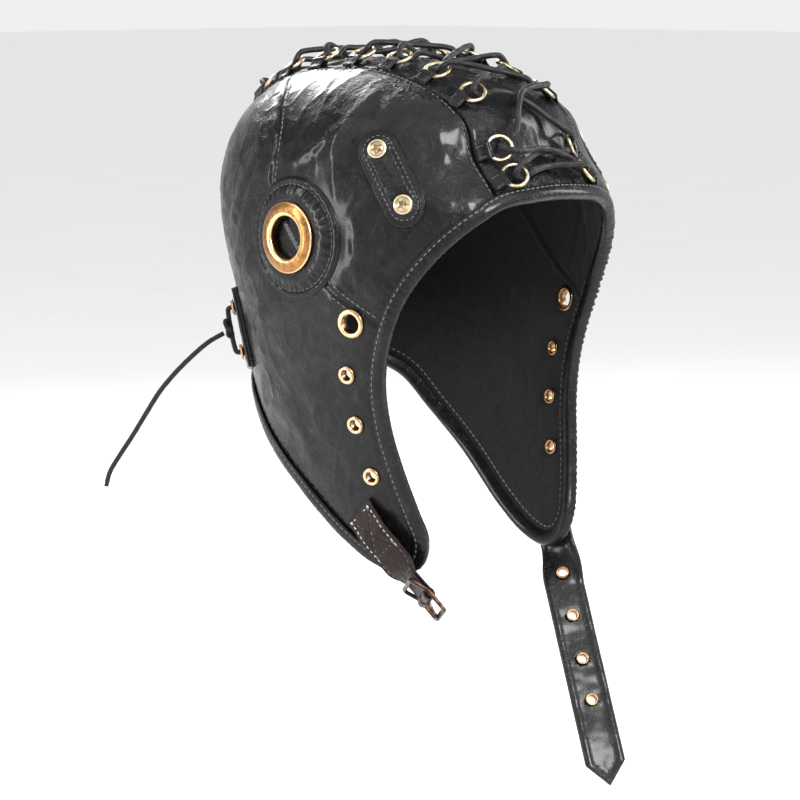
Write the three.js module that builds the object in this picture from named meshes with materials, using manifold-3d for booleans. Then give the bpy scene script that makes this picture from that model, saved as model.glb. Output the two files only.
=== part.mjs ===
// Leather flying helmet with laced crown, ear flaps, chin straps and brass fittings.
// Millimetres. +Z is up, the face looks along -Y, +X is the wearer's left.
// The origin is the inside of the crown's top, where the head touches.
import * as THREE from 'three';
import { mergeVertices } from 'three/addons/utils/BufferGeometryUtils.js';
import Module from 'manifold-3d';

const wasm = await Module();
wasm.setup();

// Driving dimensions
const WALL = 2.5;
const TOP_Z = 2.5;
const WIDEST_Z = -72;
const PLAN_POWER = 2.25;
const AROUND = 36;
const HEM_STEPS = 66;
const SEAM_X = 38;
const SEAM_GAP = 0.4;
const CLEAR = 0.4;

// outer face below the widest level: height, half width, reach to the front and to the back
const SKIRT = [
  { z: -72, half: 88, front: 104, back: 112 },
  { z: -98, half: 88, front: 104, back: 106.5 },
  { z: -125, half: 86, front: 102, back: 96.5 },
  { z: -150, half: 82, front: 98, back: 91 },
  { z: -175, half: 77, front: 93, back: 88 },
  { z: -205, half: 70, front: 88, back: 84 },
  { z: -240, half: 60, front: 84, back: 74 },
  { z: -280, half: 46, front: 80, back: 66 },
];
// how the crown rounds over: powers of the quarter turn, the backward lean and the brow's dip
const DOME = { rise: 0.86, side: 0.82, front: 1.16, back: 0.7, lean: 8, dip: 0.15, dipZ: -44, dipSpan: 18 };
const FLARE = { reach: 14, fromY: 24, toY: -60, fromZ: -136, toZ: -245 };
const DOME_STEPS = [0.1, 0.26, 0.42, 0.57, 0.71, 0.83, 0.93, 1];
const SKIRT_STEPS = [-100, -130, -156, -178, -197, -214, -231, -250, -270];

// lower edge on the wearer's left, from the brow round the ear flap to the nape
const HEM = [
  { x: 0, y: -100, z: -63.5 },
  { x: 18, y: -99, z: -64.5 },
  { x: 36, y: -95, z: -67.5 },
  { x: 52, y: -86, z: -78 },
  { x: 66.5, y: -74, z: -95 },
  { x: 74, y: -61, z: -115 },
  { x: 76, y: -52, z: -136 },
  { x: 73, y: -45.5, z: -158 },
  { x: 70, y: -45, z: -181 },
  { x: 64, y: -48, z: -205 },
  { x: 57, y: -52, z: -227 },
  { x: 51, y: -54, z: -242 },
  { x: 48.5, y: -48.5, z: -254 },
  { x: 51, y: -37.5, z: -258.5 },
  { x: 55, y: -22, z: -254 },
  { x: 60, y: -4.5, z: -242 },
  { x: 65, y: 22.5, z: -217 },
  { x: 63, y: 50, z: -193 },
  { x: 56, y: 68, z: -174 },
  { x: 40, y: 82, z: -164.5 },
  { x: 20, y: 91, z: -161 },
  { x: 0, y: 94, z: -160 },
];
const BINDING = { thick: 1.2, reach: 5.5, clear: 1, inside: 1.1 };

// seam between the front and the rear side panel, seen from the side
const SIDE_SEAM = [
  { y: 60, z: 40 },
  { y: 55, z: -5 },
  { y: 37, z: -16 },
  { y: 23, z: -33 },
  { y: 19, z: -50 },
  { y: 18, z: -62 },
  { y: -18, z: -107 },
  { y: -48.5, z: -127.5 },
  { y: -90, z: -155 },
];

const EAR_PATCH = { y: 1, z: -86.5, radius: 31, hole: 13, thick: 2.2 };
const EAR_GROMMET = { y: 3, z: -86.5, outer: 18.2, hole: 11 };
const TEMPLE = {
  y: -54,
  z: -54,
  length: 54,
  width: 22,
  thick: 2.4,
  studApart: 32,
  tiltY: -18.4,
  tiltZ: -26.5,
};
const STUD = { radius: 5, height: 1.6 };
const FLAP_EYELETS = [
  { name: 'flap_eyelet_1', y: -34, z: -128, outer: 7.7, hole: 5 },
  { name: 'flap_eyelet_2', y: -27.5, z: -155, outer: 5, hole: 2.8 },
  { name: 'flap_eyelet_3', y: -28, z: -181, outer: 5, hole: 2.8 },
  { name: 'flap_eyelet_4', y: -32, z: -208, outer: 5, hole: 2.8 },
];
const REAR_PATCH = { x: 62, y: 71.5, z: -141, length: 44, width: 24, thick: 2.6, eyeletApart: 24 };
const REAR_EYELET = { outer: 4.6, hole: 2 };

const RING_Y = [-90, -78.5, -62, -38, -12, 14, 40, 64, 84];
const RING = { radius: 6.3, wire: 0.9, tilt: (14 * Math.PI) / 180, seatU: 1.4, seatW: 2.4 };
const TAB = { width: 8, fromSeam: 5 };
const LACE = { radius: 1.55, low: 3, high: 6.9 };
const TIE = { radius: 1.35 };

const STRAP = { width: 22, thick: 2.2, rootZ: -227 };
const LONG_STRAP = { rootY: -23, length: 172, tip: 12, twist: -48, from: 36, to: 62, hole: 2.3, outer: 4.2 };
const LONG_STRAP_DOWN = { x: -0.195, y: -0.472, z: -0.86 };
const LONG_STRAP_HOLES = [53.5, 78, 102.5, 125.5];
const SHORT_STRAP = { rootY: -20, fold: 57, twist: 30, from: 34, to: 46 };
const SHORT_STRAP_DOWN = { x: 0.298, y: -0.62, z: -0.735 };
const BUCKLE = { width: 28, inner: 11.2, outer: 12.6, bar: 1.2, side: 2.2 };

const COLOURS = {
  leather: { color: 0x17171a, roughness: 0.42, metalness: 0 },
  strap: { color: 0x1b1819, roughness: 0.45, metalness: 0 },
  brown: { color: 0x33241f, roughness: 0.5, metalness: 0 },
  brass: { color: 0x9a7b4a, roughness: 0.35, metalness: 1 },
  pale: { color: 0xb3a27c, roughness: 0.3, metalness: 1 },
  cord: { color: 0x121213, roughness: 0.75, metalness: 0 },
};

// The helmet's outer face
const V = (x, y, z) => new THREE.Vector3(x, y, z);

// smooth value of one column of the skirt table at height z
function skirtValue(key, z) {
  const last = SKIRT.length - 1;
  let k = 0;
  while (k < last - 1 && z < SKIRT[k + 1].z) {
    k += 1;
  }
  const slope = (i) => (SKIRT[i + 1][key] - SKIRT[i][key]) / (SKIRT[i + 1].z - SKIRT[i].z);
  const tangent = (i) => {
    if (i === 0) {
      return 0;
    }
    if (i === last) {
      return slope(last - 1);
    }
    return (slope(i - 1) + slope(i)) / 2;
  };
  const h = SKIRT[k + 1].z - SKIRT[k].z;
  const u = (z - SKIRT[k].z) / h;
  const a = (2 * u ** 3 - 3 * u ** 2 + 1) * SKIRT[k][key];
  const b = (u ** 3 - 2 * u ** 2 + u) * h * tangent(k);
  const c = (3 * u ** 2 - 2 * u ** 3) * SKIRT[k + 1][key];
  const d = (u ** 3 - u ** 2) * h * tangent(k + 1);
  return a + b + c + d;
}

// half width, reach to the front and back, and backward shift of the section at height z
function sectionAt(z) {
  if (z <= WIDEST_Z) {
    return { half: skirtValue('half', z), front: skirtValue('front', z), back: skirtValue('back', z), shift: 0 };
  }
  const up = Math.min(1, (z - WIDEST_Z) / (TOP_Z - WIDEST_Z));
  const c = up ** (1 / DOME.rise);
  const s = Math.max(0.004, Math.sqrt(Math.max(0, 1 - c * c)));
  const hollow = (h) => Math.exp(-(((h - DOME.dipZ) / DOME.dipSpan) ** 2));
  const dip = 1 - DOME.dip * Math.max(0, hollow(z) - hollow(WIDEST_Z));
  return {
    half: SKIRT[0].half * s ** DOME.side,
    front: SKIRT[0].front * s ** DOME.front * dip,
    back: SKIRT[0].back * s ** DOME.back,
    shift: DOME.lean * (1 - s),
  };
}

// how far the left flap swings outward at y, z: its front edge stands away from the cheek
function flare(x, y, z) {
  if (x <= 0) {
    return 0;
  }
  const ahead = THREE.MathUtils.smoothstep(-y, -FLARE.fromY, -FLARE.toY);
  return FLARE.reach * ahead * THREE.MathUtils.smoothstep(-z, -FLARE.fromZ, -FLARE.toZ);
}

// negative inside the outer face, positive outside
function outside(p) {
  const s = sectionAt(p.z);
  const x = p.x - flare(p.x, p.y, p.z);
  const y = p.y - s.shift;
  const reach = y > 0 ? s.back : s.front;
  return (Math.abs(x) / s.half) ** PLAN_POWER + (Math.abs(y) / reach) ** PLAN_POWER - 1;
}

function normalAt(p) {
  const e = 0.05;
  const n = V(
    outside(V(p.x + e, p.y, p.z)) - outside(V(p.x - e, p.y, p.z)),
    outside(V(p.x, p.y + e, p.z)) - outside(V(p.x, p.y - e, p.z)),
    outside(V(p.x, p.y, p.z + e)) - outside(V(p.x, p.y, p.z - e)),
  );
  return n.normalize();
}

// point of the outer face met by the line through p along the outward direction
function drape(p, direction) {
  let low = -24;
  let high = 24;
  for (let i = 0; i < 44; i += 1) {
    const mid = (low + high) / 2;
    if (outside(p.clone().addScaledVector(direction, mid)) < 0) {
      low = mid;
    } else {
      high = mid;
    }
  }
  return p.clone().addScaledVector(direction, low);
}

// point of the outer face straight above x, y
function crownPoint(x, y) {
  let low = WIDEST_Z;
  let high = TOP_Z - 0.001;
  for (let i = 0; i < 44; i += 1) {
    const mid = (low + high) / 2;
    if (outside(V(x, y, mid)) < 0) {
      low = mid;
    } else {
      high = mid;
    }
  }
  return V(x, y, low);
}

// point of the outer face beside y, z
function sidePoint(side, y, z) {
  const s = sectionAt(z);
  const reach = y - s.shift > 0 ? s.back : s.front;
  const part = Math.max(0, 1 - (Math.abs(y - s.shift) / reach) ** PLAN_POWER);
  return V(side * s.half * part ** (1 / PLAN_POWER) + flare(side, y, z), y, z);
}

// frame on the outer face: b follows the wanted direction, a crosses it, n points out
function frameOn(point, along) {
  const n = normalAt(point);
  const b = along.clone().addScaledVector(n, -along.dot(n)).normalize();
  const a = b.clone().cross(n).normalize();
  return { o: point.clone(), a, b, n };
}

function at(frame, a, b, n) {
  const p = frame.o.clone().addScaledVector(frame.a, a).addScaledVector(frame.b, b);
  return p.addScaledVector(frame.n, n);
}

// point over the outer face at a, b of a frame, lifted off it
function lifted(frame, a, b, lift) {
  return drape(at(frame, a, b, 0), frame.n).addScaledVector(frame.n, lift);
}

// Solids
// closed skin over rows of points: the rows close on themselves, or end in a point at each end
function skin(rows, ends) {
  const count = rows[0].length;
  const points = rows.flat();
  const faces = [];
  const closed = ends === undefined;
  const steps = closed ? rows.length : rows.length - 1;
  for (let r = 0; r < steps; r += 1) {
    const next = (r + 1) % rows.length;
    for (let i = 0; i < count; i += 1) {
      const j = (i + 1) % count;
      faces.push([r * count + i, r * count + j, next * count + j]);
      faces.push([r * count + i, next * count + j, next * count + i]);
    }
  }
  if (!closed) {
    const first = points.length;
    points.push(ends[0], ends[1]);
    const base = (rows.length - 1) * count;
    for (let i = 0; i < count; i += 1) {
      const j = (i + 1) % count;
      faces.push([first, j, i]);
      faces.push([first + 1, base + i, base + j]);
    }
  }
  let volume = 0;
  for (const [i, j, k] of faces) {
    volume += points[i].dot(points[j].clone().cross(points[k]));
  }
  if (volume < 0) {
    faces.forEach((f) => f.reverse());
  }
  const geometry = new THREE.BufferGeometry();
  geometry.setAttribute('position', new THREE.Float32BufferAttribute(points.flatMap((p) => [p.x, p.y, p.z]), 3));
  geometry.setIndex(faces.flat());
  return geometry;
}

function centre(row) {
  const sum = row.reduce((total, p) => total.add(p), V(0, 0, 0));
  return sum.multiplyScalar(1 / row.length);
}

// rows closed by a fan at each end
function capped(rows) {
  return skin(rows, [centre(rows[0]), centre(rows[rows.length - 1])]);
}

function bare(geometry) {
  const copy = geometry.clone();
  copy.deleteAttribute('normal');
  copy.deleteAttribute('uv');
  copy.clearGroups();
  return mergeVertices(copy, 1e-4);
}

function solid(geometry) {
  const g = bare(geometry);
  const vertProperties = new Float32Array(g.attributes.position.array);
  const triVerts = new Uint32Array(g.index.array);
  return new wasm.Manifold(new wasm.Mesh({ numProp: 3, vertProperties, triVerts }));
}

function geometryOf(body) {
  const mesh = body.getMesh();
  const geometry = new THREE.BufferGeometry();
  geometry.setAttribute('position', new THREE.BufferAttribute(new Float32Array(mesh.vertProperties), 3));
  geometry.setIndex(new THREE.BufferAttribute(new Uint32Array(mesh.triVerts), 1));
  return geometry;
}

function basis(frame) {
  return new THREE.Matrix4().makeBasis(frame.a, frame.b, frame.n).setPosition(frame.o);
}

function block(x0, x1, y0, y1, z0, z1) {
  const g = new THREE.BoxGeometry(x1 - x0, y1 - y0, z1 - z0);
  return g.translate((x0 + x1) / 2, (y0 + y1) / 2, (z0 + z1) / 2);
}

// prism along X over an outline given by y and z
function sidePrism(outline, x0, x1) {
  const shape = new THREE.Shape(outline.map((p) => new THREE.Vector2(p.y, p.z)));
  const g = new THREE.ExtrudeGeometry(shape, { depth: x1 - x0, bevelEnabled: false });
  const turn = new THREE.Matrix4().makeBasis(V(0, 1, 0), V(0, 0, 1), V(1, 0, 0)).setPosition(V(x0, 0, 0));
  return g.applyMatrix4(turn);
}

// ring turned round the normal: the profile is radius and height, from the hole's top outward and down
function turned(profile, segments) {
  const loop = [...profile, profile[0]].reverse().map((p) => new THREE.Vector2(p[0], p[1]));
  return new THREE.LatheGeometry(loop, segments).rotateX(Math.PI / 2);
}

// tube along a smooth line through the points, with the steps shared out between the points
function tube(points, radius, sides, perSpan) {
  const curve = new THREE.CatmullRomCurve3(points, false, 'centripetal');
  curve.getSpacedPoints = (n) => curve.getPoints(n);
  curve.getTangentAt = (u, target) => curve.getTangent(u, target);
  const shape = new THREE.Shape();
  for (let i = 0; i < sides; i += 1) {
    const a = (i / sides) * Math.PI * 2;
    const x = radius * Math.cos(a);
    const y = radius * Math.sin(a);
    if (i === 0) {
      shape.moveTo(x, y);
    } else {
      shape.lineTo(x, y);
    }
  }
  const steps = (points.length - 1) * perSpan;
  return new THREE.ExtrudeGeometry(shape, { steps, extrudePath: curve, bevelEnabled: false });
}

const helmet = new THREE.Group();

function material(name) {
  return new THREE.MeshStandardMaterial(COLOURS[name]);
}

function add(name, geometry, colour, frame, parent) {
  const mesh = new THREE.Mesh(bare(geometry), material(colour));
  mesh.name = name;
  if (frame) {
    mesh.position.copy(frame.o);
    mesh.quaternion.setFromRotationMatrix(new THREE.Matrix4().makeBasis(frame.a, frame.b, frame.n));
  }
  (parent ?? helmet).add(mesh);
  return mesh;
}

// Leather shell
function shellRow(plan, z, depth) {
  const row = [];
  for (let i = 0; i < AROUND; i += 1) {
    const turn = ((i + 0.5) / AROUND) * Math.PI * 2;
    const c = Math.cos(turn);
    const s = Math.sin(turn);
    const x = plan.half * Math.sign(c) * Math.abs(c) ** (2 / PLAN_POWER);
    const reach = s > 0 ? plan.back : plan.front;
    const y = plan.shift + reach * Math.sign(s) * Math.abs(s) ** (2 / PLAN_POWER);
    const p = V(x + flare(x, y, z), y, z);
    row.push(p.clone().addScaledVector(normalAt(p), -depth));
  }
  return row;
}

function shellSolid(depth) {
  const rows = [];
  for (const step of DOME_STEPS) {
    const z = WIDEST_Z + (TOP_Z - WIDEST_Z) * Math.cos((step * Math.PI) / 2) ** DOME.rise;
    rows.push(shellRow(sectionAt(z), z, depth));
  }
  for (const z of SKIRT_STEPS) {
    rows.push(shellRow(sectionAt(z), z, depth));
  }
  const bottom = SKIRT_STEPS[SKIRT_STEPS.length - 1];
  return solid(skin(rows, [V(0, DOME.lean, TOP_Z - depth), V(0, 0, bottom - 2 + depth * 2)]));
}

// points round the whole lower edge, with the outward normal and the direction up into the leather
function hemStations(count) {
  const left = HEM.map((p) => V(p.x + flare(p.x, p.y, p.z), p.y, p.z));
  const right = HEM.slice(1, -1).reverse().map((p) => V(-p.x, p.y, p.z));
  const curve = new THREE.CatmullRomCurve3([...left, ...right], true, 'centripetal');
  const stations = [];
  for (let i = 0; i < count; i += 1) {
    const rough = curve.getPoint(i / count);
    const p = drape(rough, normalAt(rough));
    const n = normalAt(p);
    const along = curve.getTangent(i / count);
    const into = n.clone().cross(along).normalize();
    stations.push({ p, n, into });
  }
  return stations;
}

const hem = hemStations(HEM_STEPS);

// everything below the lower edge, with its skin square to the leather
function belowHem() {
  const inside = V(0, -5, -120);
  const rows = [
    hem.map((s) => s.p.clone().addScaledVector(s.n, -9)),
    hem.map((s) => s.p.clone().addScaledVector(s.n, 7)),
    hem.map((s) => {
      const p = s.p.clone().addScaledVector(s.n, 7);
      return p.add(p.clone().sub(inside).multiplyScalar(1.2));
    }),
  ];
  return solid(skin(rows, [inside, V(0, 0, -700)]));
}

const shell = shellSolid(0).subtract(shellSolid(WALL)).subtract(belowHem());
const inner = SEAM_X - SEAM_GAP / 2;
const outer = SEAM_X + SEAM_GAP / 2;

// Crown panel with its lacing tabs
// seat of lacing ring k on one side: origin on the leather, a toward the middle, b along the seam
function ringSeat(side, k) {
  const o = crownPoint(side * (SEAM_X - TAB.fromSeam), RING_Y[k]);
  const n = normalAt(o);
  const a = V(-side, 0, 0).addScaledVector(n, side * n.x).normalize();
  const b = n.clone().cross(a);
  return { o, a, b, n };
}

function tabGeometry() {
  const shape = new THREE.Shape();
  shape.moveTo(-4.7, -1.2);
  shape.lineTo(5.4, -1.2);
  shape.lineTo(5.4, 5.2);
  shape.lineTo(-0.8, 5.2);
  const slot = new THREE.Path();
  slot.moveTo(0.1, 1.2);
  slot.lineTo(4.2, 1.2);
  slot.lineTo(4.2, 4);
  slot.lineTo(0.1, 4);
  shape.holes.push(slot);
  const g = new THREE.ExtrudeGeometry(shape, { depth: TAB.width, bevelEnabled: false });
  // the outline stands on the seat, the depth runs along the seam
  return g.translate(0, 0, -TAB.width / 2).rotateX(Math.PI / 2);
}

let crown = shell.intersect(solid(block(-inner, inner, -200, 200, -320, 60)));
const seats = [];
for (const side of [-1, 1]) {
  for (let k = 0; k < RING_Y.length; k += 1) {
    const seat = ringSeat(side, k);
    seats.push({ side, k, seat });
    crown = crown.add(solid(tabGeometry().applyMatrix4(basis(seat))));
  }
}
add('crown_panel', geometryOf(crown), 'leather');

// Side panels, ear flaps
function flapFrame(side, y, z) {
  return frameOn(sidePoint(side, y, z), V(0, 0, 1));
}

function panelSet(side, label) {
  const x0 = side < 0 ? -200 : outer;
  const x1 = side < 0 ? -outer : 200;
  const half = shell.intersect(solid(block(x0, x1, -200, 200, -320, 60)));
  const edge = [...SIDE_SEAM, { y: -220, z: -155 }, { y: -220, z: 40 }];
  const moved = edge.map((p) => ({ y: p.y + 0.35, z: p.z - 0.35 }));
  const front = half.intersect(solid(sidePrism(edge, -240, 240)));
  let rear = half.subtract(solid(sidePrism(moved, -240, 240)));
  for (const e of FLAP_EYELETS) {
    const f = flapFrame(side, e.y, e.z);
    const drill = new THREE.CylinderGeometry(e.hole + 1, e.hole + 1, 16, 8).rotateX(Math.PI / 2);
    rear = rear.subtract(solid(drill.applyMatrix4(basis(f))));
  }
  add(`side_panel_${label}`, geometryOf(front), 'leather');
  add(`ear_flap_${label}`, geometryOf(rear), 'leather');
}

panelSet(-1, 'right');
panelSet(1, 'left');

// Binding round the lower edge
function bindingRow(s) {
  const c = BINDING.clear;
  const t = c + BINDING.thick;
  const deep = BINDING.inside;
  const up = drape(s.p.clone().addScaledVector(s.into, BINDING.reach), s.n);
  const point = (base, n, m) => base.clone().addScaledVector(s.n, n).addScaledVector(s.into, m);
  return [
    point(up, c + 0.4, 0),
    point(s.p, t, -t),
    point(s.p, -WALL - deep - BINDING.thick, -t),
    point(up, -WALL - deep - 0.4, 0),
    point(s.p, -WALL - deep, -c),
    point(s.p, c, -c),
  ];
}

add('rim_binding', skin(hem.map(bindingRow)), 'leather');

// Ear patches and their grommets
const SIDES = [
  { side: -1, label: 'right' },
  { side: 1, label: 'left' },
];

for (const { side, label } of SIDES) {
  const f = flapFrame(side, EAR_PATCH.y, EAR_PATCH.z);
  const g = flapFrame(side, EAR_GROMMET.y, EAR_GROMMET.z);
  const away = g.o.clone().sub(f.o);
  const rows = [];
  for (let i = 0; i < 20; i += 1) {
    const turn = (i / 20) * Math.PI * 2;
    const spoke = (r, keep, lift) => {
      const a = r * Math.cos(turn) + away.dot(f.a) * keep;
      return lifted(f, a, r * Math.sin(turn) + away.dot(f.b) * keep, lift);
    };
    rows.push([
      spoke(EAR_PATCH.hole, 1, CLEAR),
      spoke(EAR_PATCH.radius, 0, CLEAR),
      spoke(EAR_PATCH.radius, 0, CLEAR + EAR_PATCH.thick * 0.5),
      spoke(EAR_PATCH.radius - 2, 0, CLEAR + EAR_PATCH.thick),
      spoke(EAR_PATCH.hole, 1, CLEAR + EAR_PATCH.thick),
    ]);
  }
  add(`ear_patch_${label}`, skin(rows), 'leather');
  const top = CLEAR + EAR_PATCH.thick + 0.6;
  const profile = [
    [EAR_GROMMET.hole, top + 1.4],
    [EAR_GROMMET.hole + 3, top + 2.4],
    [EAR_GROMMET.outer, top],
    [EAR_GROMMET.hole + 1.2, top],
    [EAR_GROMMET.hole + 1.2, 0.5],
    [EAR_GROMMET.hole, 0.5],
  ];
  add(`ear_grommet_${label}`, turned(profile, 16), 'brass', g);
}

// Temple patches and star studs
for (const { side, label } of SIDES) {
  const f = frameOn(sidePoint(side, TEMPLE.y, TEMPLE.z), V(0, -TEMPLE.tiltY, -TEMPLE.tiltZ));
  const r = TEMPLE.width / 2;
  const straight = TEMPLE.length / 2 - r;
  const rim = [];
  for (const end of [1, -1]) {
    for (let i = 0; i <= 6; i += 1) {
      const turn = (i / 6) * Math.PI;
      rim.push([end * r * Math.cos(turn), end * (r * Math.sin(turn) + straight)]);
    }
    rim.push([-end * r, (end * straight) / 3], [-end * r, (-end * straight) / 3]);
  }
  const level = (scale, lift) => rim.map(([a, b]) => lifted(f, a * scale, b * scale, lift));
  const rows = [
    level(0.5, CLEAR + 0.3),
    level(1, CLEAR + 0.3),
    level(0.9, CLEAR + TEMPLE.thick),
    level(0.4, CLEAR + TEMPLE.thick),
  ];
  const ends = [lifted(f, 0, 0, CLEAR + 0.3), lifted(f, 0, 0, CLEAR + TEMPLE.thick)];
  add(`temple_patch_${label}`, skin(rows, ends), 'leather');
  for (const [place, b] of [['upper', 1], ['lower', -1]]) {
    const spot = lifted(f, 0, (b * TEMPLE.studApart) / 2, 0);
    const s = frameOn(spot, f.b);
    s.o.addScaledVector(s.n, CLEAR + TEMPLE.thick + 0.5);
    const cap = [
      new THREE.Vector2(0, 0),
      new THREE.Vector2(STUD.radius, 0),
      new THREE.Vector2(STUD.radius, STUD.height * 0.6),
      new THREE.Vector2(STUD.radius - 0.9, STUD.height),
      new THREE.Vector2(0, STUD.height * 0.8),
    ];
    add(`star_stud_${place}_${label}`, new THREE.LatheGeometry(cap, 10).rotateX(Math.PI / 2), 'pale', s);
  }
}

// Eyelets
// eyelet with a flange on each face of a sheet, heights measured from the sheet's outer face
function eyelet(hole, wide, sheet) {
  return turned([
    [hole, 1.5],
    [wide, CLEAR + 0.1],
    [hole + 0.6, CLEAR],
    [hole + 0.6, -sheet - 0.7],
    [wide - 0.8, -sheet - 0.8],
    [hole, -sheet - 1.7],
  ], 8);
}

for (const { side, label } of SIDES) {
  for (const e of FLAP_EYELETS) {
    const f = flapFrame(side, e.y, e.z);
    add(`${e.name}_${label}`, eyelet(e.hole, e.outer, WALL), 'brass', f);
  }
}

// Rear patches, their eyelets and the tied cord
const rearFrames = {};
for (const { side, label } of SIDES) {
  const rough = V(side * REAR_PATCH.x, REAR_PATCH.y, REAR_PATCH.z);
  const f = frameOn(drape(rough, normalAt(rough)), V(-side * 0.1, 0.15, 1));
  rearFrames[label] = f;
  const w = REAR_PATCH.width / 2;
  const l = REAR_PATCH.length / 2;
  const rim = [
    [w, -l + 3],
    [w, 0],
    [w, l - 3],
    [w - 3, l],
    [-w + 3, l],
    [-w, l - 3],
    [-w, 0],
    [-w, -l + 3],
    [-w + 3, -l],
    [w - 3, -l],
  ];
  const level = (scale, lift) => rim.map(([a, b]) => lifted(f, a * scale, b * scale, lift));
  const low = CLEAR + 0.3;
  const top = low + REAR_PATCH.thick;
  const rows = [level(0.5, low), level(1, low), level(1, top), level(0.5, top)];
  let patch = solid(skin(rows, [lifted(f, 0, 0, low), lifted(f, 0, 0, top)]));
  for (const [place, b] of [['upper', 1], ['lower', -1]]) {
    const e = frameOn(lifted(f, 0, (b * REAR_PATCH.eyeletApart) / 2, 0), f.b);
    const drill = new THREE.CylinderGeometry(3.1, 3.1, 12, 8).rotateX(Math.PI / 2);
    patch = patch.subtract(solid(drill.applyMatrix4(basis(e))));
    const profile = [
      [REAR_EYELET.hole, top + 1.9],
      [REAR_EYELET.outer, top + 1.3],
      [REAR_EYELET.outer, top + 0.5],
      [REAR_EYELET.hole + 0.7, top + 0.5],
      [REAR_EYELET.hole + 0.7, 0.6],
      [REAR_EYELET.hole, 0.6],
    ];
    add(`rear_eyelet_${place}_${label}`, turned(profile, 8), 'brass', e);
  }
  add(`rear_patch_${label}`, geometryOf(patch), 'leather');
}

const tied = rearFrames.right;
const over = CLEAR + 0.3 + REAR_PATCH.thick + 1.9 + CLEAR + TIE.radius;
const reachB = REAR_PATCH.eyeletApart / 2;
const bar = [
  at(tied, 0, reachB, 3.2),
  at(tied, 0, reachB - 0.2, over - 0.3),
  at(tied, 0, reachB - 3.5, over + 0.5),
  at(tied, 0, 0, over + 0.6),
  at(tied, 0, -reachB + 3.5, over + 0.5),
  at(tied, 0, -reachB + 0.2, over - 0.3),
  at(tied, 0, -reachB, 3.2),
];
const knotHeart = at(tied, 0, 0, over + 1.2);
const heart = new THREE.IcosahedronGeometry(3.6, 1).scale(1, 1.1, 0.85);
const lobe = new THREE.IcosahedronGeometry(2.4, 0).translate(2.6, 3, 1.2);
const knot = solid(tube(bar, TIE.radius, 5, 1))
  .add(solid(heart.applyMatrix4(basis({ ...tied, o: knotHeart }))))
  .add(solid(lobe.applyMatrix4(basis({ ...tied, o: knotHeart }))));
add('tie_knot', geometryOf(knot), 'cord');

// free tail of the tied cord, from the knot, in steps to the wearer's right, back and down
const TAIL = [
  { x: -2.75, y: 2, z: -1.25 },
  { x: -9, y: 7.4, z: -6 },
  { x: -17.2, y: 14, z: -15 },
  { x: -23.2, y: 18.5, z: -22.5 },
  { x: -29.7, y: 23.2, z: -32 },
  { x: -35.9, y: 27.3, z: -43.5 },
  { x: -42.3, y: 31.3, z: -55.5 },
  { x: -48.2, y: 35.2, z: -66 },
  { x: -52.5, y: 38, z: -74.5 },
  { x: -54.6, y: 38.7, z: -82 },
];
const tailPoints = TAIL.map((p) => knotHeart.clone().add(V(p.x, p.y, p.z)));
add('tie_cord', tube(tailPoints, TIE.radius, 8, 2), 'cord');

// Lacing rings and the crown lace
function ringFrame(seat) {
  const c = Math.cos(RING.tilt);
  const s = Math.sin(RING.tilt);
  const a = seat.a.clone().multiplyScalar(c).addScaledVector(seat.n, s);
  const n = seat.n.clone().multiplyScalar(c).addScaledVector(seat.a, -s);
  const o = at(seat, RING.seatU, 0, RING.seatW).addScaledVector(a, RING.radius);
  return { o, a, b: seat.b, n };
}

const rings = {};
for (const { side, k, seat } of seats) {
  const label = side < 0 ? 'right' : 'left';
  const f = ringFrame(seat);
  rings[`${label}_${k + 1}`] = f;
  add(`lace_ring_${k + 1}_${label}`, new THREE.TorusGeometry(RING.radius, RING.wire, 4, 9), 'pale', f);
}

// the lace runs forward over one ring of each row, crosses at the brow and runs back
const FORWARD = ['right_9', 'left_8', 'right_7', 'left_6', 'right_5', 'left_4', 'right_3', 'left_2', 'right_1'];
const BACKWARD = ['left_1', 'right_2', 'left_3', 'right_4', 'left_5', 'right_6', 'left_7', 'right_8', 'left_9'];
// over the wire, down into the ring, and out under the wire: a inward, b toward the last row, n up
const THREADING = [
  { a: 9.4, b: 4.5, n: 1.6 },
  { a: 5.7, b: 3.4, n: 3 },
  { a: 0.6, b: 0, n: 0 },
  { a: 4.6, b: -3, n: -3.1 },
  { a: 10, b: -5, n: -1.8 },
];

function laceMiddle(y, height) {
  const p = crownPoint(0, y);
  return p.addScaledVector(normalAt(p), height);
}

function lacePath() {
  const points = [];
  const order = [...FORWARD, ...BACKWARD];
  const rowY = (name) => RING_Y[Number(name.split('_')[1]) - 1];
  const last = RING_Y[RING_Y.length - 1];
  points.push(laceMiddle(last + 8, LACE.low).add(V(-7, 0, 0)));
  order.forEach((name, i) => {
    const f = rings[name];
    const back = f.b.y > 0 || (Math.abs(f.b.y) < 0.2 && f.b.z < 0) ? 1 : -1;
    const forward = i < FORWARD.length;
    const from = forward ? back : -back;
    const bar = name === 'right_1' || name === 'left_1';
    THREADING.forEach((t) => {
      let b = t.b * from;
      if (bar && name === 'left_1' && t.b > 0) {
        b = 0;
      }
      if (bar && name === 'right_1' && t.b < 0) {
        b = Math.max(-1, b);
      }
      points.push(at(f, t.a, b, t.n));
    });
    if (i < order.length - 1) {
      const y = (rowY(name) + rowY(order[i + 1])) / 2;
      points.push(laceMiddle(y, forward ? LACE.low : LACE.high));
    }
  });
  points.push(laceMiddle(last + 8, LACE.low).add(V(7, 0, 0)));
  return points;
}

add('crown_lace', tube(lacePath(), LACE.radius, 6, 1), 'cord');

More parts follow.
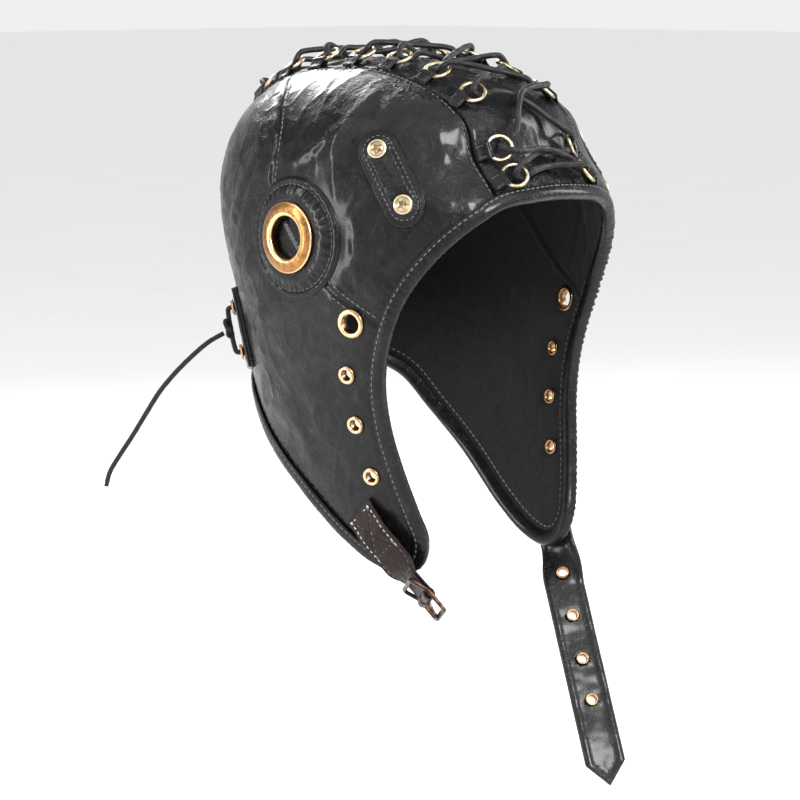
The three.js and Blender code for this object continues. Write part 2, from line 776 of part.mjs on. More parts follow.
// Chin straps
// one strap's line: it lies on the flap, crosses the binding and hangs free, turning as it goes
function strapLine(side, strap, downward) {
  const down = V(downward.x, downward.y, downward.z).normalize();
  const root = sidePoint(side, strap.rootY, STRAP.rootZ);
  const n = normalAt(root);
  const across = down.clone().cross(n).normalize();
  const out = across.clone().cross(down).normalize();
  return (s) => {
    const rise = THREE.MathUtils.smoothstep(s, 4, 17);
    const o = root.clone().addScaledVector(down, s).addScaledVector(out, CLEAR + 0.3 + 2.1 * rise);
    const turn = ((strap.twist * Math.PI) / 180) * THREE.MathUtils.smoothstep(s, strap.from, strap.to);
    const a = across.clone().applyAxisAngle(down, turn);
    const m = out.clone().applyAxisAngle(down, turn);
    return { o, a, b: down.clone(), n: m };
  };
}

function strapRow(line, s, half, low, high, ahead) {
  const f = line(s);
  return [
    at(f, -half, ahead ?? 0, low),
    at(f, half, ahead ?? 0, low),
    at(f, half, ahead ?? 0, high),
    at(f, -half, ahead ?? 0, high),
  ];
}

function longStrap() {
  const line = strapLine(1, LONG_STRAP, LONG_STRAP_DOWN);
  const half = STRAP.width / 2;
  const stops = [0, 5, 10, 16, 36, 43, 49, 55, 62, 110, LONG_STRAP.length - LONG_STRAP.tip];
  const rows = stops.map((s) => strapRow(line, s, half, 0, STRAP.thick));
  rows.push(strapRow(line, LONG_STRAP.length, 0.6, 0, STRAP.thick));
  let body = solid(capped(rows));
  LONG_STRAP_HOLES.forEach((s, i) => {
    const f = line(s);
    const bore = LONG_STRAP.hole + 1;
    const drill = new THREE.CylinderGeometry(bore, bore, 12, 8).rotateX(Math.PI / 2);
    body = body.subtract(solid(drill.applyMatrix4(basis(f))));
    const e = { ...f, o: at(f, 0, 0, STRAP.thick) };
    add(`strap_eyelet_${i + 1}`, eyelet(LONG_STRAP.hole, LONG_STRAP.outer, STRAP.thick), 'brass', e);
  });
  add('strap_long', geometryOf(body), 'strap');
}

longStrap();

// short strap: its end folds round the buckle's middle bar, with a slot for the tongue
const shortLine = strapLine(-1, SHORT_STRAP, SHORT_STRAP_DOWN);
const fold = shortLine(SHORT_STRAP.fold);
// middle of the folded end's thickness
const hinge = { ...fold, o: at(fold, 0, 0, STRAP.thick / 2) };

function alongHinge(shape, width) {
  const g = new THREE.ExtrudeGeometry(shape, { depth: width, bevelEnabled: false });
  // outline in the strap's length and thickness, depth across the strap
  const turn = new THREE.Matrix4().makeBasis(hinge.b, hinge.n, hinge.b.clone().cross(hinge.n));
  return g.translate(0, 0, -width / 2).applyMatrix4(turn.setPosition(hinge.o));
}

function polygon(points) {
  return new THREE.Shape(points.map(([x, y]) => new THREE.Vector2(x, y)));
}

function shortStrap() {
  const half = STRAP.width / 2;
  const stops = [0, 5, 10, 16, 34, 38, 42, 46, SHORT_STRAP.fold - 1];
  const body = solid(capped(stops.map((s) => strapRow(shortLine, s, half, 0, STRAP.thick))));
  const loop = [];
  for (let i = 0; i < 8; i += 1) {
    const turn = ((i + 0.5) / 8) * Math.PI * 2;
    loop.push([3.3 * Math.cos(turn), 3.3 * Math.sin(turn)]);
  }
  const eye = new THREE.CylinderGeometry(BUCKLE.bar + 0.5, BUCKLE.bar + 0.5, 40, 8);
  eye.applyMatrix4(new THREE.Matrix4().makeBasis(hinge.b, hinge.a, hinge.n.clone().negate()).setPosition(hinge.o));
  const slot = block(-2.2, 2.2, -4.6, 8, -8, 8).applyMatrix4(basis(hinge));
  const strap = body
    .add(solid(alongHinge(polygon(loop), STRAP.width)))
    .subtract(solid(eye))
    .subtract(solid(slot));
  add('strap_short', geometryOf(strap), 'brown');
}

shortStrap();

// Buckle: frame with a middle bar, and a tongue on the same bar
function buckleFrame() {
  const inside = BUCKLE.width / 2 - BUCKLE.side;
  // side bars bend over the strap toward the root and run straight toward the free end
  const side = polygon([
    [-BUCKLE.inner - 1, 2.2],
    [-BUCKLE.inner + 1.6, 2.2],
    [-2.5, -1.2],
    [BUCKLE.outer, -1.1],
    [BUCKLE.outer, 1.2],
    [-1.6, 1.2],
    [-BUCKLE.inner + 2, 4.2],
    [-BUCKLE.inner - 1, 4.2],
  ]);
  let frame = null;
  for (const s of [-1, 1]) {
    const plate = alongHinge(side, BUCKLE.side);
    plate.translate(...hinge.a.clone().multiplyScalar(s * (inside + BUCKLE.side / 2)).toArray());
    frame = frame ? frame.add(solid(plate)) : solid(plate);
  }
  const head = polygon([
    [-BUCKLE.inner - 1, 2.2],
    [-BUCKLE.inner + 1.3, 2.2],
    [-BUCKLE.inner + 1.3, 4.2],
    [-BUCKLE.inner - 1, 4.2],
  ]);
  const foot = polygon([
    [BUCKLE.outer - 3, -1.1],
    [BUCKLE.outer, -1.1],
    [BUCKLE.outer, 1.2],
    [BUCKLE.outer - 3, 1.2],
  ]);
  const pin = new THREE.CylinderGeometry(BUCKLE.bar, BUCKLE.bar, BUCKLE.width - 1, 8);
  pin.applyMatrix4(new THREE.Matrix4().makeBasis(hinge.b, hinge.a, hinge.n.clone().negate()).setPosition(hinge.o));
  frame = frame
    .add(solid(alongHinge(head, BUCKLE.width - 0.4)))
    .add(solid(alongHinge(foot, BUCKLE.width - 0.4)))
    .add(solid(pin));
  add('buckle_frame', geometryOf(frame), 'brass');
}

function buckleTongue() {
  const eyeOuter = 2.9;
  const outline = [];
  for (let i = 0; i < 9; i += 1) {
    const turn = Math.PI * 0.25 + (i / 8) * Math.PI * 1.45;
    outline.push([eyeOuter * Math.cos(turn), eyeOuter * Math.sin(turn)]);
  }
  outline.push([2.4, 0.1], [BUCKLE.outer - 4, 0.9], [BUCKLE.outer - 3.4, 1.6], [BUCKLE.outer - 0.2, 1.6]);
  outline.push([BUCKLE.outer - 0.2, 2.6], [BUCKLE.outer - 4, 3]);
  const shape = polygon(outline);
  const eye = new THREE.Path();
  for (let i = 0; i < 8; i += 1) {
    const turn = -(i / 8) * Math.PI * 2;
    const r = BUCKLE.bar + 0.45;
    if (i === 0) {
      eye.moveTo(r * Math.cos(turn), r * Math.sin(turn));
    } else {
      eye.lineTo(r * Math.cos(turn), r * Math.sin(turn));
    }
  }
  shape.holes.push(eye);
  add('buckle_tongue', alongHinge(shape, 2.8), 'brass');
}

buckleFrame();
buckleTongue();

export default helmet;
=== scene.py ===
"""Looks of the leather flying helmet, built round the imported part. Lengths are millimetres until a mesh is made."""
import math
import bmesh
import bpy
import numpy as np
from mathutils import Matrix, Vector, noise


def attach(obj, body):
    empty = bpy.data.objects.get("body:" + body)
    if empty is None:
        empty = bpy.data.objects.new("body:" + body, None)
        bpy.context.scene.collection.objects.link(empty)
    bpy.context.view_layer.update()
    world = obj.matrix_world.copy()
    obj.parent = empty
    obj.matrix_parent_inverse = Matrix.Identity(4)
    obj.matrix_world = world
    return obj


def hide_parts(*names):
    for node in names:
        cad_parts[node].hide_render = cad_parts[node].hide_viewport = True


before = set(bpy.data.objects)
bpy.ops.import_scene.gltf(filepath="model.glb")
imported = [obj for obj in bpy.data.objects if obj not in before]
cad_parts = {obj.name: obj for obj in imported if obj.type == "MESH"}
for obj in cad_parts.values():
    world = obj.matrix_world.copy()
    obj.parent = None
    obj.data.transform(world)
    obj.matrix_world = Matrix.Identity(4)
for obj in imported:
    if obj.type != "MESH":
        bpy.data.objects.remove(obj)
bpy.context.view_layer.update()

MM = 0.001
WALL, TOP_Z, WIDEST_Z, POWER = 2.5, 2.5, -72.0, 2.25
SEAM_X = 38.0
CLEAR = 0.4

# Outer face below the widest level: height, half width, reach to the front and to the back
SKIRT = {
    "z": [-72, -98, -125, -150, -175, -205, -240, -280],
    "half": [88, 88, 86, 82, 77, 70, 60, 46],
    "front": [104, 104, 102, 98, 93, 88, 84, 80],
    "back": [112, 106.5, 96.5, 91, 88, 84, 74, 66],
}
DOME = {"rise": 0.86, "side": 0.82, "front": 1.16, "back": 0.7, "lean": 8, "dip": 0.15, "dip_z": -44, "span": 18}
# Lower edge on the wearer's left, from the brow round the ear flap to the nape
HEM = {
    "x": [0, 18, 36, 52, 66.5, 74, 76, 73, 70, 64, 57, 51, 48.5, 51, 55, 60, 65, 63, 56, 40, 20, 0],
    "y": [-100, -99, -95, -86, -74, -61, -52, -45.5, -45, -48, -52, -54, -48.5, -37.5, -22, -4.5, 22.5, 50, 68, 82,
          91, 94],
    "z": [-63.5, -64.5, -67.5, -78, -95, -115, -136, -158, -181, -205, -227, -242, -254, -258.5, -254, -242,
          -217, -193, -174, -164.5, -161, -160],
}
SIDE_SEAM = {"y": [60, 55, 37, 23, 19, 18, -18, -48.5, -90], "z": [40, -5, -16, -33, -50, -62, -107, -127.5, -155]}
EAR = {"y": 1, "z": -86.5, "radius": 31, "hole": 13}
GROMMET = {"y": 3, "z": -86.5, "outer": 18.2, "hole": 11}
TEMPLE = {"y": -54, "z": -54, "length": 54, "width": 22, "stud_apart": 32, "tilt_y": -18.4, "tilt_z": -26.5}
EYELETS = [
    {"y": -34, "z": -128, "outer": 7.7, "hole": 5},
    {"y": -27.5, "z": -155, "outer": 5, "hole": 2.8},
    {"y": -28, "z": -181, "outer": 5, "hole": 2.8},
    {"y": -32, "z": -208, "outer": 5, "hole": 2.8},
]
REAR = {"x": 62, "y": 71.5, "z": -141, "length": 44, "width": 24, "thick": 2.6, "apart": 24}
RING_Y = [-90, -78.5, -62, -38, -12, 14, 40, 64, 84]
FLARE = {"reach": 14, "from_y": 24, "to_y": -60, "from_z": -136, "to_z": -245}
STRAP = {"width": 22, "thick": 2.2, "root_z": -227}
LONG = {"root_y": -23, "down": (-0.195, -0.472, -0.86), "length": 172, "tip": 12, "twist": -48, "start": 36, "end": 62,
        "holes": [53.5, 78, 102.5, 125.5]}
SHORT = {"root_y": -20, "down": (0.298, -0.62, -0.735), "fold": 57, "twist": 30, "start": 34, "end": 46}

# Camera of the photograph, which is 800 by 800 pixels
AIM = np.array([-17.06, -3.66, -176.24])
AZIMUTH, ELEVATION, DISTANCE, FOCAL = math.radians(-45), math.radians(8), 1600.0, 3040.0
BACK = np.array([
    math.sin(AZIMUTH) * math.cos(ELEVATION),
    -math.cos(AZIMUTH) * math.cos(ELEVATION),
    math.sin(ELEVATION),
])
RIGHT = np.array([math.cos(AZIMUTH), math.sin(AZIMUTH), 0.0])
UP = np.cross(BACK, RIGHT)


# The helmet's outer face

def skirt(key, z):
    zs, vs = -np.array(SKIRT["z"], float), np.array(SKIRT[key], float)
    slope = np.diff(vs) / np.diff(zs)
    tangent = np.concatenate([[0], (slope[:-1] + slope[1:]) / 2, slope[-1:]])
    k = np.clip(np.searchsorted(zs, -z, side="right") - 1, 0, len(zs) - 2)
    h = zs[k + 1] - zs[k]
    u = (-z - zs[k]) / h
    value = (2 * u**3 - 3 * u**2 + 1) * vs[k] + (u**3 - 2 * u**2 + u) * h * tangent[k]
    return value + (3 * u**2 - 2 * u**3) * vs[k + 1] + (u**3 - u**2) * h * tangent[k + 1]


def section(z):
    z = np.asarray(z, float)
    c = (np.clip((z - WIDEST_Z) / (TOP_Z - WIDEST_Z), 0, 1)) ** (1 / DOME["rise"])
    s = np.maximum(0.004, np.sqrt(np.maximum(0, 1 - c * c)))
    hollow = np.exp(-(((z - DOME["dip_z"]) / DOME["span"]) ** 2))
    floor = math.exp(-(((WIDEST_Z - DOME["dip_z"]) / DOME["span"]) ** 2))
    dip = 1 - DOME["dip"] * np.maximum(0, hollow - floor)
    low = z <= WIDEST_Z
    half = np.where(low, skirt("half", z), SKIRT["half"][0] * s ** DOME["side"])
    front = np.where(low, skirt("front", z), SKIRT["front"][0] * s ** DOME["front"] * dip)
    back = np.where(low, skirt("back", z), SKIRT["back"][0] * s ** DOME["back"])
    return half, front, back, np.where(low, 0.0, DOME["lean"] * (1 - s))


def flare(x, y, z):
    """How far the left flap swings outward: its front edge stands away from the cheek."""
    ahead = smooth(-np.asarray(y), -FLARE["from_y"], -FLARE["to_y"])
    return FLARE["reach"] * ahead * smooth(-np.asarray(z), -FLARE["from_z"], -FLARE["to_z"]) * (np.asarray(x) > 0)


def outside(p):
    half, front, back, shift = section(p[..., 2])
    x = p[..., 0] - flare(p[..., 0], p[..., 1], p[..., 2])
    y = p[..., 1] - shift
    reach = np.where(y > 0, back, front)
    above = np.maximum(0, p[..., 2] - TOP_Z)
    return (np.abs(x) / half) ** POWER + (np.abs(y) / reach) ** POWER - 1 + above


def unit(v):
    v = np.asarray(v, float)
    return v / np.linalg.norm(v, axis=-1, keepdims=True)


def normal(p):
    p = np.asarray(p, float)
    step = 0.05 * np.eye(3)
    return unit(np.stack([outside(p + d) - outside(p - d) for d in step], -1))


def drape(p, direction, low=-24.0, high=24.0):
    p = np.asarray(p, float)
    low, high = np.full(p.shape[:-1], low), np.full(p.shape[:-1], high)
    for _ in range(36):
        mid = (low + high) / 2
        inside = outside(p + direction * mid[..., None]) < 0
        low, high = np.where(inside, mid, low), np.where(inside, high, mid)
    return p + direction * low[..., None]


def side_point(side, y, z):
    half, front, back, shift = section(z)
    reach = np.where(np.asarray(y) - shift > 0, back, front)
    part = np.maximum(0, 1 - (np.abs(y - shift) / reach) ** POWER)
    return np.array([side * half * part ** (1 / POWER) + flare(side, y, z), y, z], float)


def crown_point(x, y):
    return drape(np.array([x, y, WIDEST_Z], float), np.array([0.0, 0, 1]), 0.0, TOP_Z - WIDEST_Z - 0.001)


def frame_on(point, along):
    n = normal(point)
    b = unit(np.asarray(along, float) - n * np.dot(along, n))
    return {"o": np.asarray(point, float), "a": unit(np.cross(b, n)), "b": b, "n": n}


def at(f, a, b, n):
    a, b, n = np.broadcast_arrays(np.asarray(a, float), b, n)
    return f["o"] + a[..., None] * f["a"] + b[..., None] * f["b"] + n[..., None] * f["n"]


def lifted(f, a, b, lift):
    lift = np.asarray(lift, float)
    return drape(at(f, a, b, 0), f["n"]) + np.broadcast_to(lift, np.shape(a))[..., None] * f["n"]


def flap_frame(side, y, z):
    return frame_on(side_point(side, y, z), (0, 0, 1))


def spot(px, py):
    """Point of the outer face seen at a pixel of the photograph."""
    ray = unit(RIGHT * (px - 400) / FOCAL - UP * (py - 400) / FOCAL - BACK)
    t = np.arange(1300.0, 1800.0, 1.0)
    eye = AIM + BACK * DISTANCE
    hit = outside(eye + ray * t[:, None]) < 0
    start = t[np.argmax(hit)] if hit.any() else 1560.0
    return eye + ray * (start - 0.5)


def catmull(points, per_span, closed=False):
    """Centripetal curve through the points."""
    p = np.asarray(points, float)
    n = len(p)
    u = np.linspace(0, 1, per_span, endpoint=False)[:, None]
    out = []
    for i in range(n if closed else n - 1):
        p1, p2 = p[i], p[(i + 1) % n]
        p0 = p[i - 1] if closed or i else 2 * p1 - p2
        p3 = p[(i + 2) % n] if closed or i + 2 < n else 2 * p2 - p1
        d0, d1, d2 = (max(1e-3, np.linalg.norm(b - a)) ** 0.5 for a, b in ((p0, p1), (p1, p2), (p2, p3)))
        t1 = ((p1 - p0) / d0 - (p2 - p0) / (d0 + d1) + (p2 - p1) / d1) * d1
        t2 = ((p2 - p1) / d1 - (p3 - p1) / (d1 + d2) + (p3 - p2) / d2) * d1
        out.append((2 * u**3 - 3 * u**2 + 1) * p1 + (u**3 - 2 * u**2 + u) * t1
                   + (3 * u**2 - 2 * u**3) * p2 + (u**3 - u**2) * t2)
    if not closed:
        out.append(p[-1:])
    return np.concatenate(out)


def resample(points, step, *others):
    """Points at equal steps along a line, with other columns carried along."""
    s = np.concatenate([[0], np.cumsum(np.linalg.norm(np.diff(points, axis=0), axis=1))])
    t = np.linspace(0, s[-1], max(2, int(round(s[-1] / step)) + 1))
    made = [np.stack([np.interp(t, s, c[:, k]) for k in range(c.shape[1])], 1) for c in (points, *others)]
    return made[0] if not others else made


def rough_noise(p, size, seed=0.0):
    q = (np.asarray(p, float) / size + seed).reshape(-1, 3)
    return np.array([noise.noise(v) for v in q.tolist()]).reshape(np.shape(p)[:-1])


def smooth(x, low, high):
    t = np.clip((x - low) / (high - low), 0, 1)
    return t * t * (3 - 2 * t)


# Mesh helpers

def make(name, points, faces):
    mesh = bpy.data.meshes.new(name)
    mesh.from_pydata((np.asarray(points, float) * MM).tolist(), [], [list(map(int, f)) for f in faces])
    mesh.update()
    mesh.polygons.foreach_set("use_smooth", np.ones(len(mesh.polygons), bool))
    made = bpy.data.objects.new(name, mesh)
    bpy.context.scene.collection.objects.link(made)
    return made


def grid(rows, cols, wrap_rows=False, wrap_cols=False, start=0):
    r = np.arange(rows if wrap_rows else rows - 1)
    c = np.arange(cols if wrap_cols else cols - 1)
    r, c = np.meshgrid(r, c, indexing="ij")
    r2, c2 = (r + 1) % rows, (c + 1) % cols
    quads = np.stack([r * cols + c, r * cols + c2, r2 * cols + c2, r2 * cols + c], -1)
    return (quads.reshape(-1, 4) + start).tolist()


class Bag:
    """Collects several forms that become one mesh."""

    def __init__(self):
        self.points, self.faces, self.count = [], [], 0

    def add(self, points, faces):
        points = np.asarray(points, float).reshape(-1, 3)
        self.faces += [[i + self.count for i in f] for f in faces]
        self.points.append(points)
        self.count += len(points)

    def make(self, name):
        return make(name, np.concatenate(self.points), self.faces)


def outward(obj):
    """Turns the faces outward on a closed mesh."""
    bpy.context.view_layer.objects.active = obj
    work = bmesh.new()
    work.from_mesh(obj.data)
    bmesh.ops.recalc_face_normals(work, faces=work.faces)
    work.to_mesh(obj.data)
    work.free()
    return obj


def dress(obj, materials, slot, *nodes, body="helmet"):
    for m in materials if isinstance(materials, list) else [materials]:
        obj.data.materials.append(m)
    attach(obj, body)
    if nodes:
        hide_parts(*nodes)
    return obj


def tube(points, radius, sides=10, ends=True):
    """Round tube along a line, with its points in rings."""
    p = np.asarray(points, float)
    t = unit(np.gradient(p, axis=0))
    a = np.zeros_like(p)
    a[0] = unit(np.cross(t[0], [0.3, 0.2, 1.0]))
    for i in range(1, len(p)):
        a[i] = unit(a[i - 1] - t[i] * np.dot(a[i - 1], t[i]))
    b = np.cross(t, a)
    turn = np.arange(sides) / sides * 2 * math.pi
    r = np.broadcast_to(np.asarray(radius, float), len(p))[:, None, None]
    ring = p[:, None] + r * (np.cos(turn)[None, :, None] * a[:, None] + np.sin(turn)[None, :, None] * b[:, None])
    points = ring.reshape(-1, 3)
    faces = grid(len(p), sides, wrap_cols=True)
    if ends:
        faces += [list(range(sides))[::-1], [(len(p) - 1) * sides + i for i in range(sides)]]
    return points, faces


def lathe(f, profile, segments=40):
    """Closed ring turned round the frame's normal; the profile is radius and height."""
    profile = np.asarray(profile, float)
    turn = np.arange(segments) / segments * 2 * math.pi
    r, h = profile[:, 0][None], profile[:, 1][None]
    points = at(f, np.cos(turn)[:, None] * r, np.sin(turn)[:, None] * r, h + 0 * turn[:, None])
    return points.reshape(-1, 3), grid(segments, len(profile), True, True)


def stitches(bag, points, normals, pitch=3.4, length=2.5, radius=0.36, sink=0.12):
    """Row of thread stitches that lie on a line."""
    points, normals = resample(np.asarray(points, float), pitch, np.asarray(normals, float))
    along = unit(np.gradient(points, axis=0))
    up = unit(normals)
    across = np.cross(up, along)
    turn = np.arange(6) / 6 * 2 * math.pi
    rings = [(-0.5, 0.35, -0.45), (-0.34, 0.9, 0.0), (0.0, 1.0, 0.15), (0.34, 0.9, 0.0), (0.5, 0.35, -0.45)]
    for k in range(len(points)):
        p = [points[k] + up[k] * (radius * rise - sink) + along[k] * (length * t)
             + r * radius * (np.cos(a) * across[k] * 1.15 + np.sin(a) * up[k])
             for t, r, rise in rings for a in turn]
        faces = grid(5, 6, wrap_cols=True) + [list(range(6))[::-1], list(range(24, 30))]
        bag.add(p, faces)


def clip(points, fields, faces, column):
    """Keeps the part of a mesh where one of its fields is above zero."""
    value = fields[:, column].tolist()
    fresh, fresh_fields, cuts, out = [], [], {}, []
    for f in faces:
        above = [value[i] > 0 for i in f]
        if all(above):
            out.append(f)
            continue
        if not any(above):
            continue
        made = []
        for k, i in enumerate(f):
            j = f[(k + 1) % len(f)]
            if value[i] > 0:
                made.append(i)
            if (value[i] > 0) != (value[j] > 0):
                key = (min(i, j), max(i, j))
                if key not in cuts:
                    t = value[key[0]] / (value[key[0]] - value[key[1]])
                    cuts[key] = len(points) + len(fresh)
                    fresh.append(points[key[0]] * (1 - t) + points[key[1]] * t)
                    fresh_fields.append(fields[key[0]] * (1 - t) + fields[key[1]] * t)
                made.append(cuts[key])
        if len(made) > 2:
            out.append(made)
    if fresh:
        points, fields = np.vstack([points, fresh]), np.vstack([fields, fresh_fields])
    used = np.unique(np.concatenate([np.asarray(f) for f in out]))
    place = np.full(len(points), -1)
    place[used] = np.arange(len(used))
    return points[used], fields[used], [[int(place[i]) for i in f] for f in out]


def nearest(p, line):
    """Distance to the nearest point of a line, and its index."""
    p = np.asarray(p, float).reshape(-1, 3)
    best, index = np.empty(len(p)), np.empty(len(p), int)
    for k in range(0, len(p), 4000):
        d = np.linalg.norm(p[k:k + 4000, None] - line[None], axis=2)
        index[k:k + 4000] = d.argmin(1)
        best[k:k + 4000] = d.min(1)
    return best, index


# Lines that several pieces follow

def hem_line():
    left = np.stack([HEM["x"], HEM["y"], HEM["z"]], 1).astype(float)
    both = np.vstack([left, left[1:-1][::-1] * [-1, 1, 1]])
    both[:, 0] += flare(both[:, 0], both[:, 1], both[:, 2])
    p = catmull(both, 24, closed=True)
    p = resample(np.vstack([p, p[:1]]), 1.6)[:-1]
    p = drape(p, normal(p))
    n = normal(p)
    along = unit(np.roll(p, -1, 0) - np.roll(p, 1, 0))
    return p, n, unit(np.cross(n, along)), along


hem, hem_n, hem_in, _ = hem_line()
hem_s = np.concatenate([[0], np.cumsum(np.linalg.norm(np.diff(hem, axis=0), axis=1))])


def from_hem(p):
    """Distance up into the leather from the lower edge, negative below it."""
    _, i = nearest(p, hem)
    return np.einsum("ij,ij->i", p - hem[i], hem_in[i])


seam_line = resample(catmull(np.stack([SIDE_SEAM["y"], SIDE_SEAM["z"]], 1), 12), 1.0)


def from_seam(p):
    """Signed distance from the seam between a front and a rear side panel, seen from the side."""
    q = p[:, 1:]
    _, i = nearest(np.column_stack([q, 0 * q[:, 0]]), np.column_stack([seam_line, 0 * seam_line[:, 0]]))
    along = unit(np.gradient(seam_line, axis=0))
    return (q[:, 0] - seam_line[i, 0]) * along[i, 1] - (q[:, 1] - seam_line[i, 1]) * along[i, 0]


# Folds of the near side by their place in the photograph: pixels, width and height in millimetres
FOLDS = [
    {"at": [(386, 84), (368, 100), (350, 120), (336, 138), (333, 152), (336, 170), (334, 190)], "wide": 4.0, "high": 1.3},
    {"at": [(398, 92), (384, 112), (372, 128)], "wide": 3.5, "high": 0.8},
    {"at": [(282, 170), (298, 160), (315, 148), (332, 133)], "wide": 2.6, "high": 1.2},
    {"at": [(262, 258), (256, 225), (262, 190), (279, 160)], "wide": 4.5, "high": 1.1},
    {"at": [(236, 262), (243, 225), (252, 190), (270, 160)], "wide": 4.0, "high": 1.2},
    {"at": [(231, 240), (237, 205), (250, 170), (268, 140)], "wide": 5.0, "high": 1.0},
    {"at": [(240, 300), (246, 270), (251, 245)], "wide": 3.0, "high": 0.9},
    {"at": [(266, 300), (258, 330), (262, 360)], "wide": 4.0, "high": 0.8},
    {"at": [(349, 343), (356, 358), (366, 374)], "wide": 2.2, "high": 0.7},
    {"at": [(352, 390), (366, 404), (373, 420)], "wide": 2.2, "high": 0.7},
    {"at": [(330, 60), (352, 70), (372, 72)], "wide": 3.0, "high": 0.9},
    {"at": [(300, 66), (322, 66), (340, 78)], "wide": 3.0, "high": 0.6},
    {"at": [(432, 175), (442, 160), (455, 150)], "wide": 4.0, "high": 1.0},
    {"at": [(420, 118), (438, 136), (452, 160)], "wide": 6.0, "high": 0.8},
    {"at": [(350, 215), (356, 240), (352, 262)], "wide": 4.0, "high": 0.8},
    {"at": [(470, 196), (478, 184), (492, 176)], "wide": 3.0, "high": 0.7},
    {"at": [(280, 400), (300, 430), (318, 470)], "wide": 6.0, "high": 0.8},
    {"at": [(300, 350), (306, 385), (322, 420)], "wide": 6.0, "high": 0.6},
]
for fold in FOLDS:
    fold["line"] = resample(catmull([spot(*p) for p in fold["at"]], 8), 2.0)


def folds(p):
    """Height of the long folds; the far side has its own, a little shifted."""
    near = np.where(p[:, :1] < 0, p, p * [-1, 1, 1] + [0, 5, -7])
    total = np.zeros(len(p))
    for fold in FOLDS:
        d, i = nearest(near, fold["line"])
        last = len(fold["line"]) - 1
        ends = smooth(np.minimum(i, last - i) / last, 0, 0.25)
        total += fold["high"] * np.exp(-((d / fold["wide"]) ** 2)) * (0.25 + 0.75 * ends)
    return total


FACES = {side: {
    "ear": flap_frame(side, EAR["y"], EAR["z"]),
    "grommet": flap_frame(side, GROMMET["y"], GROMMET["z"]),
    "temple": frame_on(side_point(side, TEMPLE["y"], TEMPLE["z"]), (0, -TEMPLE["tilt_y"], -TEMPLE["tilt_z"])),
    "rear": None,
} for side in (-1, 1)}
for side in (-1, 1):
    rough = np.array([side * REAR["x"], REAR["y"], REAR["z"]], float)
    FACES[side]["rear"] = frame_on(drape(rough, normal(rough)), (-side * 0.1, 0.15, 1))


def local(f, p):
    d = p - f["o"]
    return d @ f["a"], d @ f["b"]


def from_patches(p, side):
    """Distance from the edge of the patches and eyelets on one side, negative under them."""
    f = FACES[side]
    a, b = local(f["ear"], p)
    best = np.hypot(a, b) - EAR["radius"]
    a, b = local(f["temple"], p)
    straight = TEMPLE["length"] / 2 - TEMPLE["width"] / 2
    best = np.minimum(best, np.hypot(a, b - np.clip(b, -straight, straight)) - TEMPLE["width"] / 2)
    a, b = local(f["rear"], p)
    best = np.minimum(best, np.maximum(np.abs(a) - REAR["width"] / 2, np.abs(b) - REAR["length"] / 2))
    for e in EYELETS:
        a, b = local(flap_frame(side, e["y"], e["z"]), p)
        best = np.minimum(best, np.hypot(a, b) - e["outer"])
    return best


def relief(p, edge, seam, side, crown):
    """Height of the leather over its plain face: folds, wrinkles, puckers and pressed edges."""
    wide = 0.8 * rough_noise(p, 38.0, 3.1) + 0.42 * rough_noise(p, 17.0, 7.7)
    crease = 1 - np.abs(rough_noise(p * [1, 1, 0.6], 15.0, 1.3)) * 2
    fine = 0.30 * smooth(crease, 0.72, 1.0) + 0.10 * rough_noise(p, 5.0, 9.2)
    if crown:
        total = wide * 0.55 + fine * 0.8
        rim = SEAM_X - np.abs(p[:, 0])
    else:
        total = wide + fine + folds(p)
        rim = np.abs(p[:, 0]) - SEAM_X
        pucker = np.sin(seam_phase(p) + 1.4 * rough_noise(p, 9.0, 2.2))
        total += 0.28 * pucker * np.exp(-((np.abs(seam) - 3) / 3.2) ** 2)
    total += 0.2 * np.sin(p[:, 1] * 0.9 + 1.5 * rough_noise(p, 8.0, 5.5)) * np.exp(-((rim - 2.5) / 2.5) ** 2)
    calm = smooth(edge, 4, 16) if crown else smooth(edge, 4, 14) * smooth(from_patches(p, side), -1, 9)
    total = total * calm
    if not crown:
        total += -1.15 * np.exp(-((seam / 0.9) ** 2)) + 0.3 * np.exp(-(((np.abs(seam) - 2.4) / 1.3) ** 2)) * calm
    total -= 1.2 * np.exp(-((rim / 1.0) ** 2))
    gather = np.sin(edge_phase(p) + 0.8 * rough_noise(p, 6.0, 4.4))
    total += 0.22 * gather * np.exp(-(((edge - 7.5) / 2.2) ** 2)) * (edge > 3)
    total -= 0.35 * np.exp(-(((edge - 6.4) / 0.8) ** 2))
    return np.minimum(total, 2.6)


def seam_phase(p):
    return (p[:, 1] * 0.6 - p[:, 2] * 0.8) * 0.95


def edge_phase(p):
    _, i = nearest(p, hem)
    return hem_s[i] * 2 * math.pi / 4.2


# Leather shell, in a crown panel and two sides

def panel(points, faces, name, side, crown, materials, slot, nodes):
    points = points.reshape(-1, 3)
    edge = from_hem(points)
    seam = from_seam(points)
    fields = np.column_stack([edge, seam])
    points, fields, faces = clip(points, fields, faces, 0)
    if not crown:
        for e in EYELETS:
            a, b = local(flap_frame(side, e["y"], e["z"]), points)
            ring = np.hypot(a, b) - e["hole"] - 0.9
            if not (ring < 0).any():
                continue
            points, fields, faces = clip(points, np.column_stack([fields[:, :2], ring]), faces, 2)
    height = relief(points, fields[:, 0], fields[:, 1], side, crown)
    made = make(name, points + normal(points) * height[:, None], faces)
    # Fold crests are painted paler from the relief height: partly wear, partly a painted highlight.
    wear_and_highlight = made.data.attributes.new("wear_and_highlight", "FLOAT", "POINT")
    wear_and_highlight.data.foreach_set("value", np.clip(height / 2.4, -1, 1).astype(np.float32))
    thick = made.modifiers.new("thickness", "SOLIDIFY")
    thick.thickness = 2.2 * MM
    thick.offset = -1
    thick.material_offset = 1
    thick.material_offset_rim = 0
    return dress(made, materials, slot, *nodes)


